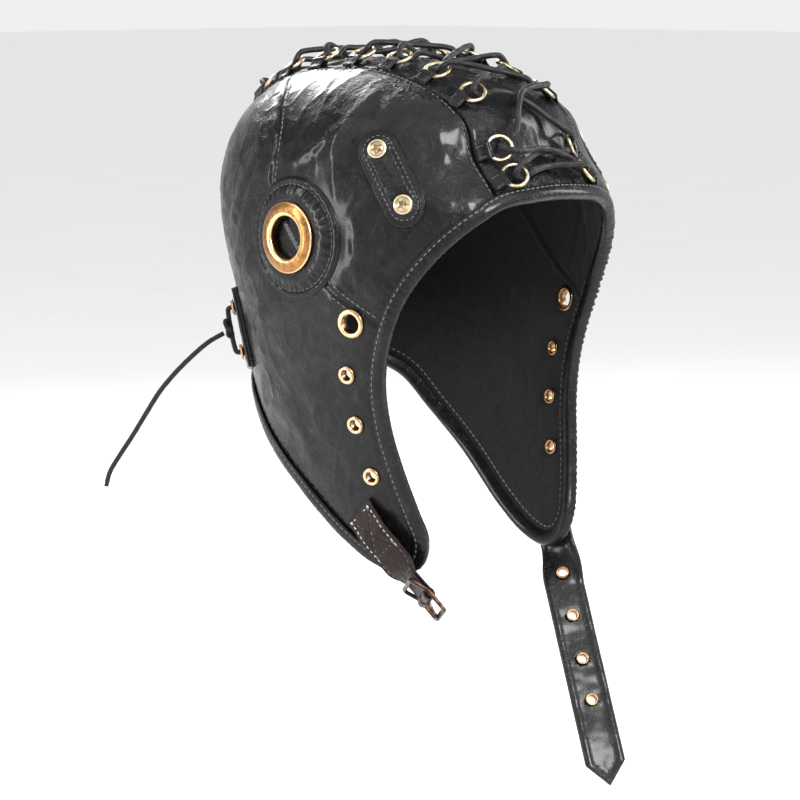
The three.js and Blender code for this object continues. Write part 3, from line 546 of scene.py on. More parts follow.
def crown_grid():
    a = np.radians(np.linspace(196, -58, 700))
    way = np.stack([0 * a, np.cos(a), np.sin(a)], 1)
    profile = drape(np.array([0, 0, WIDEST_Z]) + 0 * way, way, 0, 150)
    s = np.concatenate([[0], np.cumsum(np.linalg.norm(np.diff(profile, axis=0), axis=1))])
    a = np.interp(np.arange(0, s[-1], 1.5), s, a)
    x = np.concatenate([[-37.8, -37.3, -36.6], np.arange(-35.5, 35.6, 1.42), [36.6, 37.3, 37.8]])
    way = np.stack([0 * a, np.cos(a), np.sin(a)], 1)[:, None]
    start = np.stack([x, 0 * x, 0 * x + WIDEST_Z], 1)[None] + 0 * way
    return drape(start, way + 0 * start, 0, 150), grid(len(a), len(x))


def side_grid(side):
    edge = SEAM_X + 0.2
    z = np.concatenate([np.linspace(TOP_Z - 0.01, -20, 600), np.linspace(-20.05, -262, 600)])
    half = section(z)[0]
    z, half = z[half > edge], half[half > edge]
    s = np.concatenate([[0], np.cumsum(np.hypot(np.diff(z), np.diff(half)))])
    steps = np.concatenate([np.linspace(0, 1, 12)[:-1] ** 2 * 12, np.arange(12, s[-1], 1.45)])
    z = np.interp(steps, s, z)
    rows = []
    t = np.linspace(0, 1, 900)
    for k in z:
        half, front, back, shift = (float(v) for v in section(k))
        limit = math.acos(min(1.0, (edge / half) ** (POWER / 2)))
        turn = limit * (2 * t - 1)
        c, w = np.cos(turn), np.sin(turn)
        x = half * c ** (2 / POWER)
        y = shift + np.where(w > 0, back, front) * np.sign(w) * np.abs(w) ** (2 / POWER)
        d = np.concatenate([[0], np.cumsum(np.hypot(np.diff(x), np.diff(y)))])
        pick = np.linspace(0, 1, 156)
        pick = np.concatenate([[0, 0.0022, 0.0045], pick[1:-1], [0.9955, 0.9978, 1]]) * d[-1]
        x, y = np.interp(pick, d, x), np.interp(pick, d, y)
        rows.append(np.stack([side * x + flare(side, y, k), y, 0 * pick + k], 1))
    rows = np.array(rows)
    faces = grid(len(rows), rows.shape[1])
    return rows, faces if side < 0 else [f[::-1] for f in faces]


# Materials

class Shader:
    def __init__(self, name, **fixed):
        self.material = bpy.data.materials.new(name)
        self.material.use_nodes = True
        self.tree = self.material.node_tree
        self.tree.nodes.clear()
        self.bsdf = self.node("ShaderNodeBsdfPrincipled")
        out = self.node("ShaderNodeOutputMaterial")
        self.tree.links.new(self.bsdf.outputs[0], out.inputs[0])
        for key, value in fixed.items():
            self.bsdf.inputs[key.replace("_", " ")].default_value = value
        self.where = self.node("ShaderNodeTexCoord").outputs["Object"]

    def node(self, kind, **props):
        made = self.tree.nodes.new(kind)
        for key, value in props.items():
            setattr(made, key, value)
        return made

    def feed(self, socket, value):
        if hasattr(value, "links"):
            self.tree.links.new(value, socket)
        else:
            socket.default_value = value

    def noise(self, scale, detail=2.0, rough=0.5, bend=0.0, where=None):
        made = self.node("ShaderNodeTexNoise")
        for key, value in (("Scale", scale), ("Detail", detail), ("Roughness", rough), ("Distortion", bend)):
            made.inputs[key].default_value = value
        self.feed(made.inputs["Vector"], where or self.where)
        return made.outputs["Fac"]

    def cells(self, scale, where=None):
        made = self.node("ShaderNodeTexVoronoi", feature="DISTANCE_TO_EDGE")
        made.inputs["Scale"].default_value = scale
        self.feed(made.inputs["Vector"], where or self.where)
        return made.outputs["Distance"]

    def wave(self, scale, bend=0.0, where=None, direction="X"):
        made = self.node("ShaderNodeTexWave", bands_direction=direction)
        made.inputs["Scale"].default_value = scale
        made.inputs["Distortion"].default_value = bend
        self.feed(made.inputs["Vector"], where or self.where)
        return made.outputs["Fac"]

    def span(self, value, low, high, to_low=0.0, to_high=1.0):
        made = self.node("ShaderNodeMapRange", interpolation_type="SMOOTHSTEP")
        for k, v in enumerate((value, low, high, to_low, to_high)):
            self.feed(made.inputs[k], v)
        return made.outputs[0]

    def maths(self, kind, a, b):
        made = self.node("ShaderNodeMath", operation=kind)
        self.feed(made.inputs[0], a)
        self.feed(made.inputs[1], b)
        return made.outputs[0]

    def mix(self, share, a, b):
        made = self.node("ShaderNodeMix", data_type="RGBA")
        self.feed(made.inputs["Factor"], share)
        self.feed(made.inputs[6], (*a, 1) if isinstance(a, tuple) and len(a) == 3 else a)
        self.feed(made.inputs[7], (*b, 1) if isinstance(b, tuple) and len(b) == 3 else b)
        return made.outputs[2]

    def bump(self, height, distance, strength=1.0, under=None):
        made = self.node("ShaderNodeBump")
        made.inputs["Strength"].default_value = strength
        made.inputs["Distance"].default_value = distance
        self.feed(made.inputs["Height"], height)
        if under:
            self.feed(made.inputs["Normal"], under)
        return made.outputs[0]

    def attribute(self, name):
        return self.node("ShaderNodeAttribute", attribute_name=name).outputs["Fac"]


def leather(name, dark, pale, gloss=(0.27, 0.5), crinkle=1.0, coat=0.24):
    s = Shader(name, Specular_IOR_Level=0.12, Coat_Weight=coat, Coat_Roughness=0.16)
    broad = s.noise(26, 3, 0.55)
    mottle = s.noise(95, 5, 0.62, 0.6)
    pores = s.noise(1500, 2)
    grain = s.cells(560)
    # Raised places are painted paler through the attribute: partly leather wear, partly a painted highlight on crests.
    wear_and_highlight = s.span(s.attribute("wear_and_highlight"), 0.15, 0.75)
    share = s.maths("ADD", s.maths("MULTIPLY", s.span(mottle, 0.42, 0.72), 0.6), s.maths("MULTIPLY", wear_and_highlight, 0.4))
    s.feed(s.bsdf.inputs["Base Color"], s.mix(share, dark, pale))
    rough = s.maths("ADD", s.span(mottle, 0.3, 0.7, gloss[1], gloss[0]), s.span(broad, 0.35, 0.65, 0.06, -0.04))
    s.feed(s.bsdf.inputs["Roughness"], rough)
    lines = s.maths("ABSOLUTE", s.maths("SUBTRACT", s.noise(150, 4, 0.6, 1.2), 0.5), 0)
    first = s.bump(s.span(lines, 0.0, 0.16), 0.0005 * crinkle, 0.45)
    second = s.bump(mottle, 0.0022 * crinkle, 0.5, first)
    third = s.bump(s.span(grain, 0.0, 0.22), 0.00012, 0.55, second)
    s.feed(s.bsdf.inputs["Normal"], s.bump(pores, 0.00008, 0.4, third))
    return s.material


def metal(name, bright, worn, dark, rough=(0.22, 0.45)):
    s = Shader(name, Metallic=1.0)
    patch = s.noise(260, 5, 0.65, 0.4)
    fleck = s.noise(1400, 3, 0.6)
    base = s.mix(s.span(patch, 0.4, 0.68), worn, dark)
    # Points marked high get the bright colour: partly rubbed brass, partly a painted rim highlight.
    wear_and_highlight = s.span(s.attribute("wear_and_highlight"), 0.2, 0.8)
    s.feed(s.bsdf.inputs["Base Color"], s.mix(wear_and_highlight, base, bright))
    s.feed(s.bsdf.inputs["Roughness"], s.span(fleck, 0.3, 0.7, *rough))
    s.feed(s.bsdf.inputs["Normal"], s.bump(s.noise(900, 4, 0.6), 0.00012, 0.5, s.bump(patch, 0.0004, 0.3)))
    return s.material


def thread(name, colour, glint):
    s = Shader(name, Sheen_Weight=0.3, Specular_IOR_Level=0.4)
    s.feed(s.bsdf.inputs["Base Color"], s.mix(s.noise(700, 3), colour, glint))
    s.feed(s.bsdf.inputs["Roughness"], s.span(s.noise(900, 2), 0.3, 0.7, 0.35, 0.6))
    s.feed(s.bsdf.inputs["Normal"], s.bump(s.wave(900, 1.5, direction="DIAGONAL"), 0.0002, 0.5))
    return s.material


def cord_look(name):
    s = Shader(name, Sheen_Weight=0.06, Specular_IOR_Level=0.25)
    uv = s.node("ShaderNodeUVMap", uv_map="along").outputs[0]
    one = s.wave(1.0, 0.3, uv, "DIAGONAL")
    flip = s.node("ShaderNodeMapping")
    flip.inputs["Scale"].default_value = (-1, 1, 1)
    s.feed(flip.inputs["Vector"], uv)
    two = s.wave(1.0, 0.3, flip.outputs[0], "DIAGONAL")
    weave = s.maths("MULTIPLY", one, two)
    s.feed(s.bsdf.inputs["Base Color"], s.mix(weave, (0.003, 0.003, 0.004), (0.014, 0.014, 0.015)))
    s.feed(s.bsdf.inputs["Roughness"], s.span(s.noise(300, 3), 0.3, 0.7, 0.4, 0.62))
    s.feed(s.bsdf.inputs["Normal"], s.bump(weave, 0.0004, 0.7, s.bump(s.noise(1200, 3), 0.0001, 0.5)))
    return s.material


def lining_look(name):
    s = Shader(name, Sheen_Weight=0.1, Sheen_Roughness=0.5, Specular_IOR_Level=0.15)
    nap = s.noise(420, 5, 0.7, 0.5)
    s.feed(s.bsdf.inputs["Base Color"], s.mix(nap, (0.003, 0.003, 0.003), (0.010, 0.010, 0.010)))
    s.feed(s.bsdf.inputs["Roughness"], s.span(nap, 0.3, 0.7, 0.95, 0.75))
    weave = s.maths("MULTIPLY", s.wave(330, 0.4, direction="Z"), s.wave(330, 0.4, direction="Y"))
    s.feed(s.bsdf.inputs["Normal"], s.bump(weave, 0.00012, 0.5, s.bump(nap, 0.0005, 0.5)))
    return s.material


BLACK = leather("leather_black", (0.0015, 0.0015, 0.002), (0.010, 0.010, 0.011), (0.2, 0.5))
PATCH = leather("leather_patch", (0.0015, 0.0015, 0.002), (0.009, 0.009, 0.010), (0.16, 0.42), 0.8)
STRAP_LOOK = leather("leather_strap", (0.002, 0.002, 0.002), (0.011, 0.010, 0.011), (0.22, 0.48), 0.9)
BROWN = leather("leather_brown", (0.009, 0.0045, 0.004), (0.032, 0.016, 0.014), (0.3, 0.55), 0.9, 0.06)
LINING = lining_look("lining_black")
ANTIQUE = metal("brass_antique", (0.74, 0.50, 0.26), (0.36, 0.18, 0.06), (0.18, 0.085, 0.03))
COPPER = metal("brass_eyelet", (0.70, 0.50, 0.29), (0.40, 0.24, 0.12), (0.17, 0.095, 0.045), (0.22, 0.4))
PALE = metal("brass_pale", (0.66, 0.56, 0.38), (0.30, 0.22, 0.12), (0.10, 0.07, 0.04), (0.24, 0.45))
DARK = metal("brass_dark", (0.22, 0.13, 0.08), (0.055, 0.034, 0.024), (0.02, 0.015, 0.012), (0.3, 0.5))
THREAD = thread("thread_black", (0.012, 0.012, 0.013), (0.12, 0.12, 0.12))
WHITE = thread("thread_grey", (0.18, 0.18, 0.18), (0.62, 0.61, 0.58))
CORD = cord_look("cord_black")


# Per-point value that pales a surface: random tone and wear, plus a painted highlight on fold crests, rib tops and
# metal rims.
def with_wear_and_highlight(obj, values):
    layer = obj.data.attributes.new("wear_and_highlight", "FLOAT", "POINT")
    layer.data.foreach_set("value", np.asarray(values, np.float32))
    return obj


def along_uv(obj, rings, sides, length, radius):
    """Coordinates round and along a tube, in turns of its girth."""
    layer = obj.data.uv_layers.new(name="along")
    girth = 2 * math.pi * radius
    for poly in obj.data.polygons:
        ring = [i // sides for i in poly.vertices]
        turn = [i % sides for i in poly.vertices]
        wraps = max(turn) - min(turn) > sides / 2
        for loop, r, t in zip(poly.loop_indices, ring, turn):
            t = t + sides if wraps and t < sides / 2 else t
            layer.data[loop].uv = (r / max(1, rings - 1) * length / girth, t / sides)
    return obj


# Shell and lining

points, faces = crown_grid()
panel(points, faces, "crown", 0, True, [BLACK, LINING], "leather_black", ["crown_panel"])
LABELS = {-1: "right", 1: "left"}
for side, label in LABELS.items():
    points, faces = side_grid(side)
    panel(points, faces, f"shell_{label}", side, False, [BLACK, LINING], "leather_black",
          [f"side_panel_{label}", f"ear_flap_{label}"])
seams = Bag()


# Binding round the lower edge

def over_hem(m, n):
    """Points over the leather at m up from the edge and n off its face, for all stations."""
    up = hem + hem_in * 5.5
    fall = np.einsum("ij,ij->i", drape(up, hem_n) - up, hem_n)
    m, n = np.broadcast_to(m, len(hem)), np.broadcast_to(n, len(hem))
    return hem + hem_in * m[:, None] + hem_n * (n + fall * (m / 5.5) ** 2 * (m > 0))[:, None]


def binding():
    face = smooth(-hem[:, 1], 30, 50) * smooth(-hem[:, 2], 70, 84)
    strong = face * (0.30 + 0.34 * np.exp(-(((hem[:, 2] + 112) / 26) ** 2)))
    strong = strong + (1 - face) * 0.07
    jitter = rough_noise(hem, 7.0, 8.1)
    rib = strong * np.sin(hem_s * 2 * math.pi / 2.75 + 0.9 * jitter) + 0.12 * rough_noise(hem, 11.0, 6.6)
    profile = [
        (0.35, 5.3, 0), (0.9, 5.55, 0), (1.35, 5.3, 0.3), (1.75, 4.6, 0.6), (1.62, 3.9, 0.5), (1.95, 3.0, 1),
        (2.1, 1.8, 1), (2.15, 0.6, 1), (2.05, -0.6, 1), (1.6, -1.6, 0.8), (0.8, -2.15, 0.5), (-0.6, -2.3, 0.3),
        (-2.2, -2.25, 0.3), (-3.5, -1.9, 0.2), (-4.3, -1.1, 0.2), (-4.6, 0.2, 0.2), (-4.5, 2.0, 0.2),
        (-4.2, 3.8, 0.1), (-3.8, 4.9, 0), (-3.3, 5.3, 0), (-2.75, 5.0, 0), (-2.75, -0.5, 0), (0.3, -0.5, 0),
    ]
    rows = []
    for n, m, share in profile:
        out = share * rib
        p = over_hem(m, n + out * (1 if n > 0 else -0.5))
        rows.append(p - hem_in * (out * (m < 0))[:, None])
    points = np.array(rows)
    made = outward(make("binding", points.reshape(-1, 3), grid(len(profile), len(hem), True, True)))
    # Rib crests of the binding are painted paler: partly a painted highlight on the ribs, partly wear.
    with_wear_and_highlight(made, np.clip(np.concatenate([share * rib * 1.6 for _, _, share in profile]), -1, 1))
    dress(made, BLACK, "leather_black", "rim_binding")
    stitches(seams, over_hem(3.9, 1.75), hem_n, 3.3, 2.3, 0.33)


binding()


# Ear patches and grommets

def ear_patch(side, label):
    f, g = FACES[side]["ear"], FACES[side]["grommet"]
    away = local(f, g["o"])
    turn = np.arange(260) / 260 * 2 * math.pi
    r = np.concatenate([[31, 31.1, 30.9, 30.5], np.arange(30, 17, -0.55), np.arange(17, 12.6, -0.8), [12.6]])
    keep = np.clip((31 - r) / 18, 0, 1)
    a = r[:, None] * np.cos(turn) + away[0] * keep[:, None]
    b = r[:, None] * np.sin(turn) + away[1] * keep[:, None]
    e = (31 - r)[:, None] + 0 * turn
    spots = np.stack([a, b, 0 * a], -1)
    h = 0.45 + 1.5 * smooth(e, -0.1, 1.1) - 0.85 * np.exp(-(((e - 3.7) / 0.75) ** 2))
    h = h + 1.15 * smooth(e, 4.2, 9.0) - 0.5 * smooth(e, 10.5, 13.5)
    wobble = rough_noise(np.stack([np.cos(turn) * 3, np.sin(turn) * 3, 0 * turn + side], -1), 1.0, 2.0)
    pucker = np.sin(turn * 34 + 5 * wobble) * (0.55 + 0.8 * rough_noise(
        np.stack([np.cos(turn), np.sin(turn), 0 * turn + 2 * side], -1), 0.45, 4.0))
    h = h + 0.55 * pucker[None] * np.exp(-(((e - 5.4) / 2.6) ** 2)) * (e > 3.2)
    h = h + 0.16 * pucker[None] * np.exp(-(((e - 1.6) / 1.4) ** 2)) * smooth(e, 0.3, 1.2)
    h = h + 0.3 * rough_noise(spots + [0, 0, 40.0 * side], 8.0) * smooth(e, 4, 7)
    h[0] = -0.4
    h[1] = 0.5
    h[-1] = 0.2
    points = lifted(f, a, b, h)
    made = make(f"ear_pad_{label}", points.reshape(-1, 3), grid(len(r), len(turn), wrap_cols=True))
    # The top of the padded ear patch is painted paler: partly wear, partly a painted highlight.
    with_wear_and_highlight(made, np.clip((h - 1.9) * 0.8, -1, 1).ravel())
    dress(made, PATCH, "leather_black", f"ear_patch_{label}")
    k = np.argmin(np.abs(31 - r - 3.7))
    line = np.vstack([points[k], points[k][:1]])
    stitches(seams, line, np.vstack([normal(line)]), 3.3, 2.3, 0.34)
    profile = [(11, 0.3), (11, 3.7), (11.15, 4.4), (11.7, 5.0), (12.6, 5.25), (13.1, 5.2), (13.8, 5.28), (15.0, 5.05),
               (16.4, 4.5), (17.4, 3.95), (17.9, 3.8), (18.25, 3.4), (18.1, 2.7), (17.2, 2.3), (12.2, 2.3), (12.2, 0.3)]
    # Profile crests of the grommet are painted bright: partly rubbed brass, partly a painted rim highlight.
    bright = [0, 0.2, 0.8, 1, 0.9, 0.25, 0, 0, 0, 0.1, 0.9, 1, 0.4, 0, 0, 0]
    points, faces = lathe(g, profile, 96)
    made = with_wear_and_highlight(outward(make(f"ear_ring_{label}", points, faces)), np.tile(bright, 96))
    dress(made, ANTIQUE, "brass_antique", f"ear_grommet_{label}")


# Temple patches and star studs

def rounded_rim(half_a, half_b, radius, step):
    """Points of a rounded rectangle's rim with the way out at each."""
    corner = []
    for qa, qb, start in ((1, 1, 0), (-1, 1, 90), (-1, -1, 180), (1, -1, 270)):
        for t in np.radians(np.linspace(start, start + 90, 12)):
            corner.append((qa * (half_a - radius), qb * (half_b - radius), math.cos(t), math.sin(t)))
    corner = np.array(corner + corner[:1])
    line = corner[:, :2] + corner[:, 2:] * radius
    line, spine, way = resample(line, step, corner[:, :2], corner[:, 2:])
    return spine[:-1], unit(way[:-1])


def temple_patch(side, label):
    f = FACES[side]["temple"]
    half = TEMPLE["width"] / 2
    spine, way = rounded_rim(half, TEMPLE["length"] / 2, half - 0.01, 0.75)
    e = np.concatenate([[0, 0.02, 0.25, 0.6], np.arange(1.0, 10.8, 0.42), [10.95]])
    points2 = spine[None] + way[None] * (half - e)[:, None, None]
    a, b = points2[..., 0], points2[..., 1]
    s = np.arange(len(spine)) * 0.75
    deep = e[:, None] + 0 * a
    h = 0.6 + 0.95 * smooth(deep, -0.05, 0.6) - 0.6 * np.exp(-(((deep - 1.75) / 0.3) ** 2))
    h = h - 0.5 * np.exp(-(((deep - 3.5) / 0.6) ** 2)) + 1.1 * smooth(deep, 3.9, 6.2)
    spots = np.stack([a, b, 0 * a], -1)
    ripple = np.sin(s * 2 * math.pi / 2.9 + 1.5 * rough_noise(np.stack([s, 0 * s, 0 * s + 9 * side], -1), 6.0))
    h = h + 0.34 * ripple[None] * np.exp(-(((deep - 4.7) / 1.2) ** 2))
    h = h + 0.14 * ripple[None] * np.exp(-(((deep - 2.6) / 0.5) ** 2))
    cross = 1 - 2 * np.abs(rough_noise(spots * [0.8, 1.6, 1] + [0, 0, 30 * side], 4.5))
    h = h + 0.4 * smooth(cross, 0.4, 1.0) * smooth(deep, 4, 6)
    for place in (1, -1):
        away = np.hypot(a, b - place * TEMPLE["stud_apart"] / 2)
        h = h - 0.9 * np.exp(-((away / 5.8) ** 4)) * smooth(deep, 3.5, 6)
    h[0] = -0.5
    points = lifted(f, a, b, h)
    faces = grid(len(e), len(spine), wrap_cols=True)
    faces.append([(len(e) - 1) * len(spine) + i for i in range(len(spine))])
    made = outward(make(f"temple_pad_{label}", points.reshape(-1, 3), faces))
    # The raised part of the temple patch is painted paler: partly wear, partly a painted highlight.
    with_wear_and_highlight(made, np.clip((h - 1.7) * 0.7, -1, 1).ravel())
    dress(made, PATCH, "leather_black", f"temple_patch_{label}")
    k = np.argmin(np.abs(e - 3.5))
    line = np.vstack([points[k], points[k][:1]])
    stitches(seams, line, 0 * line + f["n"], 2.9, 2.1, 0.36)
    for place, word in ((1, "upper"), (-1, "lower")):
        base = frame_on(lifted(f, np.array(0.0), np.array(place * TEMPLE["stud_apart"] / 2), 0.0), f["b"])
        base["o"] = base["o"] + base["n"] * 2.0
        stud(base, word, label, 0.35 if place > 0 else -0.5)


def stud(f, word, label, turn):
    profile = [(0.01, -0.6), (4.6, -0.6), (4.9, 0.1), (5.0, 0.6), (4.85, 1.1), (4.45, 1.35), (4.0, 1.3), (3.7, 1.02),
               (3.4, 0.92), (0.01, 0.9)]
    # Rim crests of the stud are painted bright: partly rubbed brass, partly a painted rim highlight.
    bright = [0, 0, 0.3, 0.8, 0.9, 0.9, 0.4, 0.1, 0.55, 0.6]
    points, faces = lathe(f, profile, 48)
    bag = Bag()
    bag.add(points, faces)
    level = list(np.tile(bright, 48))
    star = [(0, 0, 2.0)]
    for k in range(10):
        r = 3.55 if k % 2 == 0 else 1.5
        t = turn + k * math.pi / 5
        star.append((r * math.cos(t), r * math.sin(t), 1.12))
    low = [(x, y, 0.7) for x, y, _ in star[1:]]
    star = np.array(star + low)
    bag.add(at(f, star[:, 0], star[:, 1], star[:, 2]), [[0, 1 + k, 1 + (k + 1) % 10] for k in range(10)]
            + [[1 + k, 11 + k, 11 + (k + 1) % 10, 1 + (k + 1) % 10] for k in range(10)])
    level += [0.1] + [0.0] * 20
    made = with_wear_and_highlight(bag.make(f"stud_{word}_{label}"), level)
    faces = made.data.polygons
    flat = np.array([len(p.vertices) == 3 or p.index >= len(faces) - 20 for p in faces])
    faces.foreach_set("use_smooth", ~flat)
    dress(made, PALE, "brass_pale", f"star_stud_{word}_{label}")


def eyelet(bag, level, f, hole, wide, sheet):
    mid = (hole + wide) / 2
    profile = [(hole, -sheet - 1.2), (hole, 0.7), (hole + 0.15, 1.15), (hole + 0.5, 1.45), (mid, 1.6), (wide - 0.7, 1.35),
               (wide - 0.2, 0.95), (wide, 0.55), (wide - 0.15, 0.3), (hole + 0.6, 0.2), (hole + 0.6, -sheet - 0.6),
               (wide - 0.9, -sheet - 0.7), (wide - 0.9, -sheet - 1.1), (mid, -sheet - 1.5), (hole + 0.3, -sheet - 1.5)]
    # Rim crests of the eyelet are painted bright: partly rubbed brass, partly a painted rim highlight.
    bright = [0, 0.1, 0.6, 1, 0.9, 0.35, 0.2, 0.5, 0.2, 0, 0, 0, 0, 0, 0]
    points, faces = lathe(f, profile, 40)
    bag.add(points, faces)
    level += bright * 40


def rear_patch(side, label):
    f = FACES[side]["rear"]
    spine, way = rounded_rim(REAR["width"] / 2, REAR["length"] / 2, 3.0, 0.9)
    rim = spine + way * 3.0
    e = np.array([0.3, 0, 0, 0.05, 0.25, 0.6, 0.2, 0.45, 1.0, 1.8, 2.4, 3.0, 3.7, 4.6, 6.5, 9.0, 11.0])
    lift = np.array([-0.4, 0.2, 0.8, 1.15, 1.3, 1.45, 1.75, 2.6, 2.95, 2.9, 2.7, 2.45, 2.75, 3.0, 3.0, 3.0, 3.0])
    scale = np.stack([1 - e / (REAR["width"] / 2), 1 - e / (REAR["length"] / 2)], -1)
    a, b = rim[None, :, 0] * scale[:, None, 0], rim[None, :, 1] * scale[:, None, 1]
    h = lift[:, None] + 0.18 * rough_noise(np.stack([a, b, 0 * a + 20 * side], -1), 6.0) * (e > 1)[:, None]
    points = lifted(f, a, b, h)
    faces = grid(len(e), len(rim), wrap_cols=True) + [[(len(e) - 1) * len(rim) + i for i in range(len(rim))]]
    made = outward(make(f"rear_tab_{label}", points.reshape(-1, 3), faces))
    # The raised face of the rear patch is painted paler: partly wear, partly a painted highlight.
    with_wear_and_highlight(made, np.clip((h - 2.6), -1, 1).ravel())
    bag, level = Bag(), []
    for place in (1, -1):
        g = frame_on(lifted(f, np.array(0.0), np.array(place * REAR["apart"] / 2), 0.0), f["b"])
        g["o"] = g["o"] + g["n"] * 3.3
        eyelet(bag, level, g, 2.0, 4.6, 2.2)
    dress(made, PATCH, "leather_black", f"rear_patch_{label}")
    rings = with_wear_and_highlight(bag.make(f"rear_eyelets_{label}"), level)
    dress(rings, COPPER, "brass_antique", f"rear_eyelet_upper_{label}", f"rear_eyelet_lower_{label}")
    line = np.vstack([points[11], points[11][:1]])
    stitches(seams, line, 0 * line + f["n"], 3.2, 2.3, 0.34)


for side, label in LABELS.items():
    ear_patch(side, label)
    temple_patch(side, label)
    rear_patch(side, label)
    bag, level = Bag(), []
    for e in EYELETS:
        eyelet(bag, level, flap_frame(side, e["y"], e["z"]), e["hole"], e["outer"], WALL)
    made = with_wear_and_highlight(bag.make(f"flap_eyelets_{label}"), level)
    dress(made, COPPER, "brass_antique", *[f"flap_eyelet_{k}_{label}" for k in (1, 2, 3, 4)])


# Lacing rings, their leather loops and the crown lace

def ring_seat(side, k):
    o = crown_point(side * 33, RING_Y[k])
    n = normal(o)
    a = unit(np.array([-side, 0, 0]) + n * side * n[0])
    return {"o": o, "a": a, "b": np.cross(n, a), "n": n}


def ring_frame(seat):
    c, s = math.cos(math.radians(14)), math.sin(math.radians(14))
    a = seat["a"] * c + seat["n"] * s
    n = seat["n"] * c - seat["a"] * s
    return {"o": at(seat, 1.4, 0, 2.4) + a * 6.3, "a": a, "b": seat["b"], "n": n}


def ribbon(f, path, width, thick, bag, bulge=0.0):
    """Band that follows a path in the frame's a and n, as wide as given along b."""
    path = catmull(path, 5)
    t = unit(np.gradient(path, axis=0))
    out = np.stack([-t[:, 1], t[:, 0]], 1)
    across = np.array([-0.5, -0.49, -0.46, -0.4, -0.2, 0, 0.2, 0.4, 0.46, 0.49, 0.5])
    top = np.array([0.1, 0.55, 0.85, 0.8, 0.95, 1.0, 0.95, 0.8, 0.85, 0.55, 0.1]) * thick / 2
    rows = []
    for p, q in zip(path, out):
        upper = [at(f, p[0] + q[0] * h, w * width, p[1] + q[1] * h + bulge) for w, h in zip(across, top)]
        lower = [at(f, p[0] - q[0] * h, w * width, p[1] - q[1] * h + bulge) for w, h in zip(across[::-1], top[::-1])]
        rows.append(upper + lower)
    rows = np.array(rows)
    n = rows.shape[1]
    ends = [list(range(n)), [(len(rows) - 1) * n + i for i in range(n)][::-1]]
    bag.add(rows, grid(len(rows), n, wrap_cols=True) + ends)


rings = {}
tabs, wires = Bag(), Bag()
for side, label in LABELS.items():
    for k in range(9):
        seat = ring_seat(side, k)
        f = ring_frame(seat)
        rings[f"{label}_{k + 1}"] = f
        ribbon(seat, [(-4.9, 0.2), (-4.0, 1.0), (-2.4, 1.7), (-0.6, 3.2), (0.7, 4.25), (2.0, 4.15), (3.0, 3.2), (3.1, 1.9),
                      (2.3, 0.9), (0.6, 0.45)], 8.2 + 0.5 * math.sin(k * 2.3), 1.1, tabs)
        for b in (-2.9, 2.9):
            w = np.array([[-3.6, 0, 1.9], [-1.2, 0, 3.35]])
            line = np.array([at(seat, p[0], b, p[2]) for p in w])
            stitches(seams, line, np.array([seat["n"], seat["n"]]), 1.5, 1.1, 0.22)
        turn = np.arange(44) / 44 * 2 * math.pi
        circle = at(f, 6.3 * np.cos(turn), 6.3 * np.sin(turn), 0)
        section_turn = np.arange(12) / 12 * 2 * math.pi
        out = unit(circle - f["o"])
        c, w = np.cos(section_turn)[:, None], np.sin(section_turn)[:, None]
        ring = circle[:, None] + 0.98 * (c * out[:, None] + w * f["n"])
        wires.add(ring, grid(44, 12, True, True))
tabs = outward(tabs.make("ring_tabs"))
dress(tabs, PATCH, "leather_black")
wires = outward(wires.make("lace_rings"))
with_wear_and_highlight(wires, 0.5 + 0.5 * rough_noise(np.array([v.co for v in wires.data.vertices]) / MM, 3.0))
dress(wires, PALE, "brass_pale", *[f"lace_ring_{k}_{label}" for k in range(1, 10) for label in ("right", "left")])

THREADING = [
    {"a": 9.4, "b": 4.5, "n": 1.6},
    {"a": 5.7, "b": 3.4, "n": 3.0},
    {"a": 0.6, "b": 0.0, "n": 0.0},
    {"a": 4.6, "b": -3.0, "n": -3.1},
    {"a": 10.0, "b": -5.0, "n": -1.8},
]


def lace_path():
    forward = [f"{'right' if k % 2 else 'left'}_{k}" for k in range(9, 0, -1)]
    backward = [f"{'left' if k % 2 else 'right'}_{k}" for k in range(1, 10)]
    order = forward + backward
    row = {name: RING_Y[int(name.split("_")[1]) - 1] for name in order}

    def middle(y, height):
        p = crown_point(0, y)
        return p + normal(p) * height

    points = [middle(RING_Y[-1] + 8, 3.0) + [-7, 0, 0]]
    for i, name in enumerate(order):
        f = rings[name]
        toward = 1 if f["b"][1] > 0 or (abs(f["b"][1]) < 0.2 and f["b"][2] < 0) else -1
        ahead = toward if i < 9 else -toward
        for t in THREADING:
            b = t["b"] * ahead
            if name == "left_1" and t["b"] > 0:
                b = 0
            if name == "right_1" and t["b"] < 0:
                b = max(-1, b)
            points.append(at(f, t["a"], b, t["n"]))
        if i < len(order) - 1:
            points.append(middle((row[name] + row[order[i + 1]]) / 2, 3.0 if i < 9 else 6.9))
    return np.array(points + [middle(RING_Y[-1] + 8, 3.0) + [7, 0, 0]])


lace = catmull(lace_path(), 8)
points, faces = tube(lace, 1.55, 12)
made = make("lace", points, faces)
length = float(np.linalg.norm(np.diff(lace, axis=0), axis=1).sum())
along_uv(made, len(lace), 12, length, 1.55)
dress(made, CORD, "cord_black", "crown_lace")


# Tied cord on the right rear patch: knot and free tail

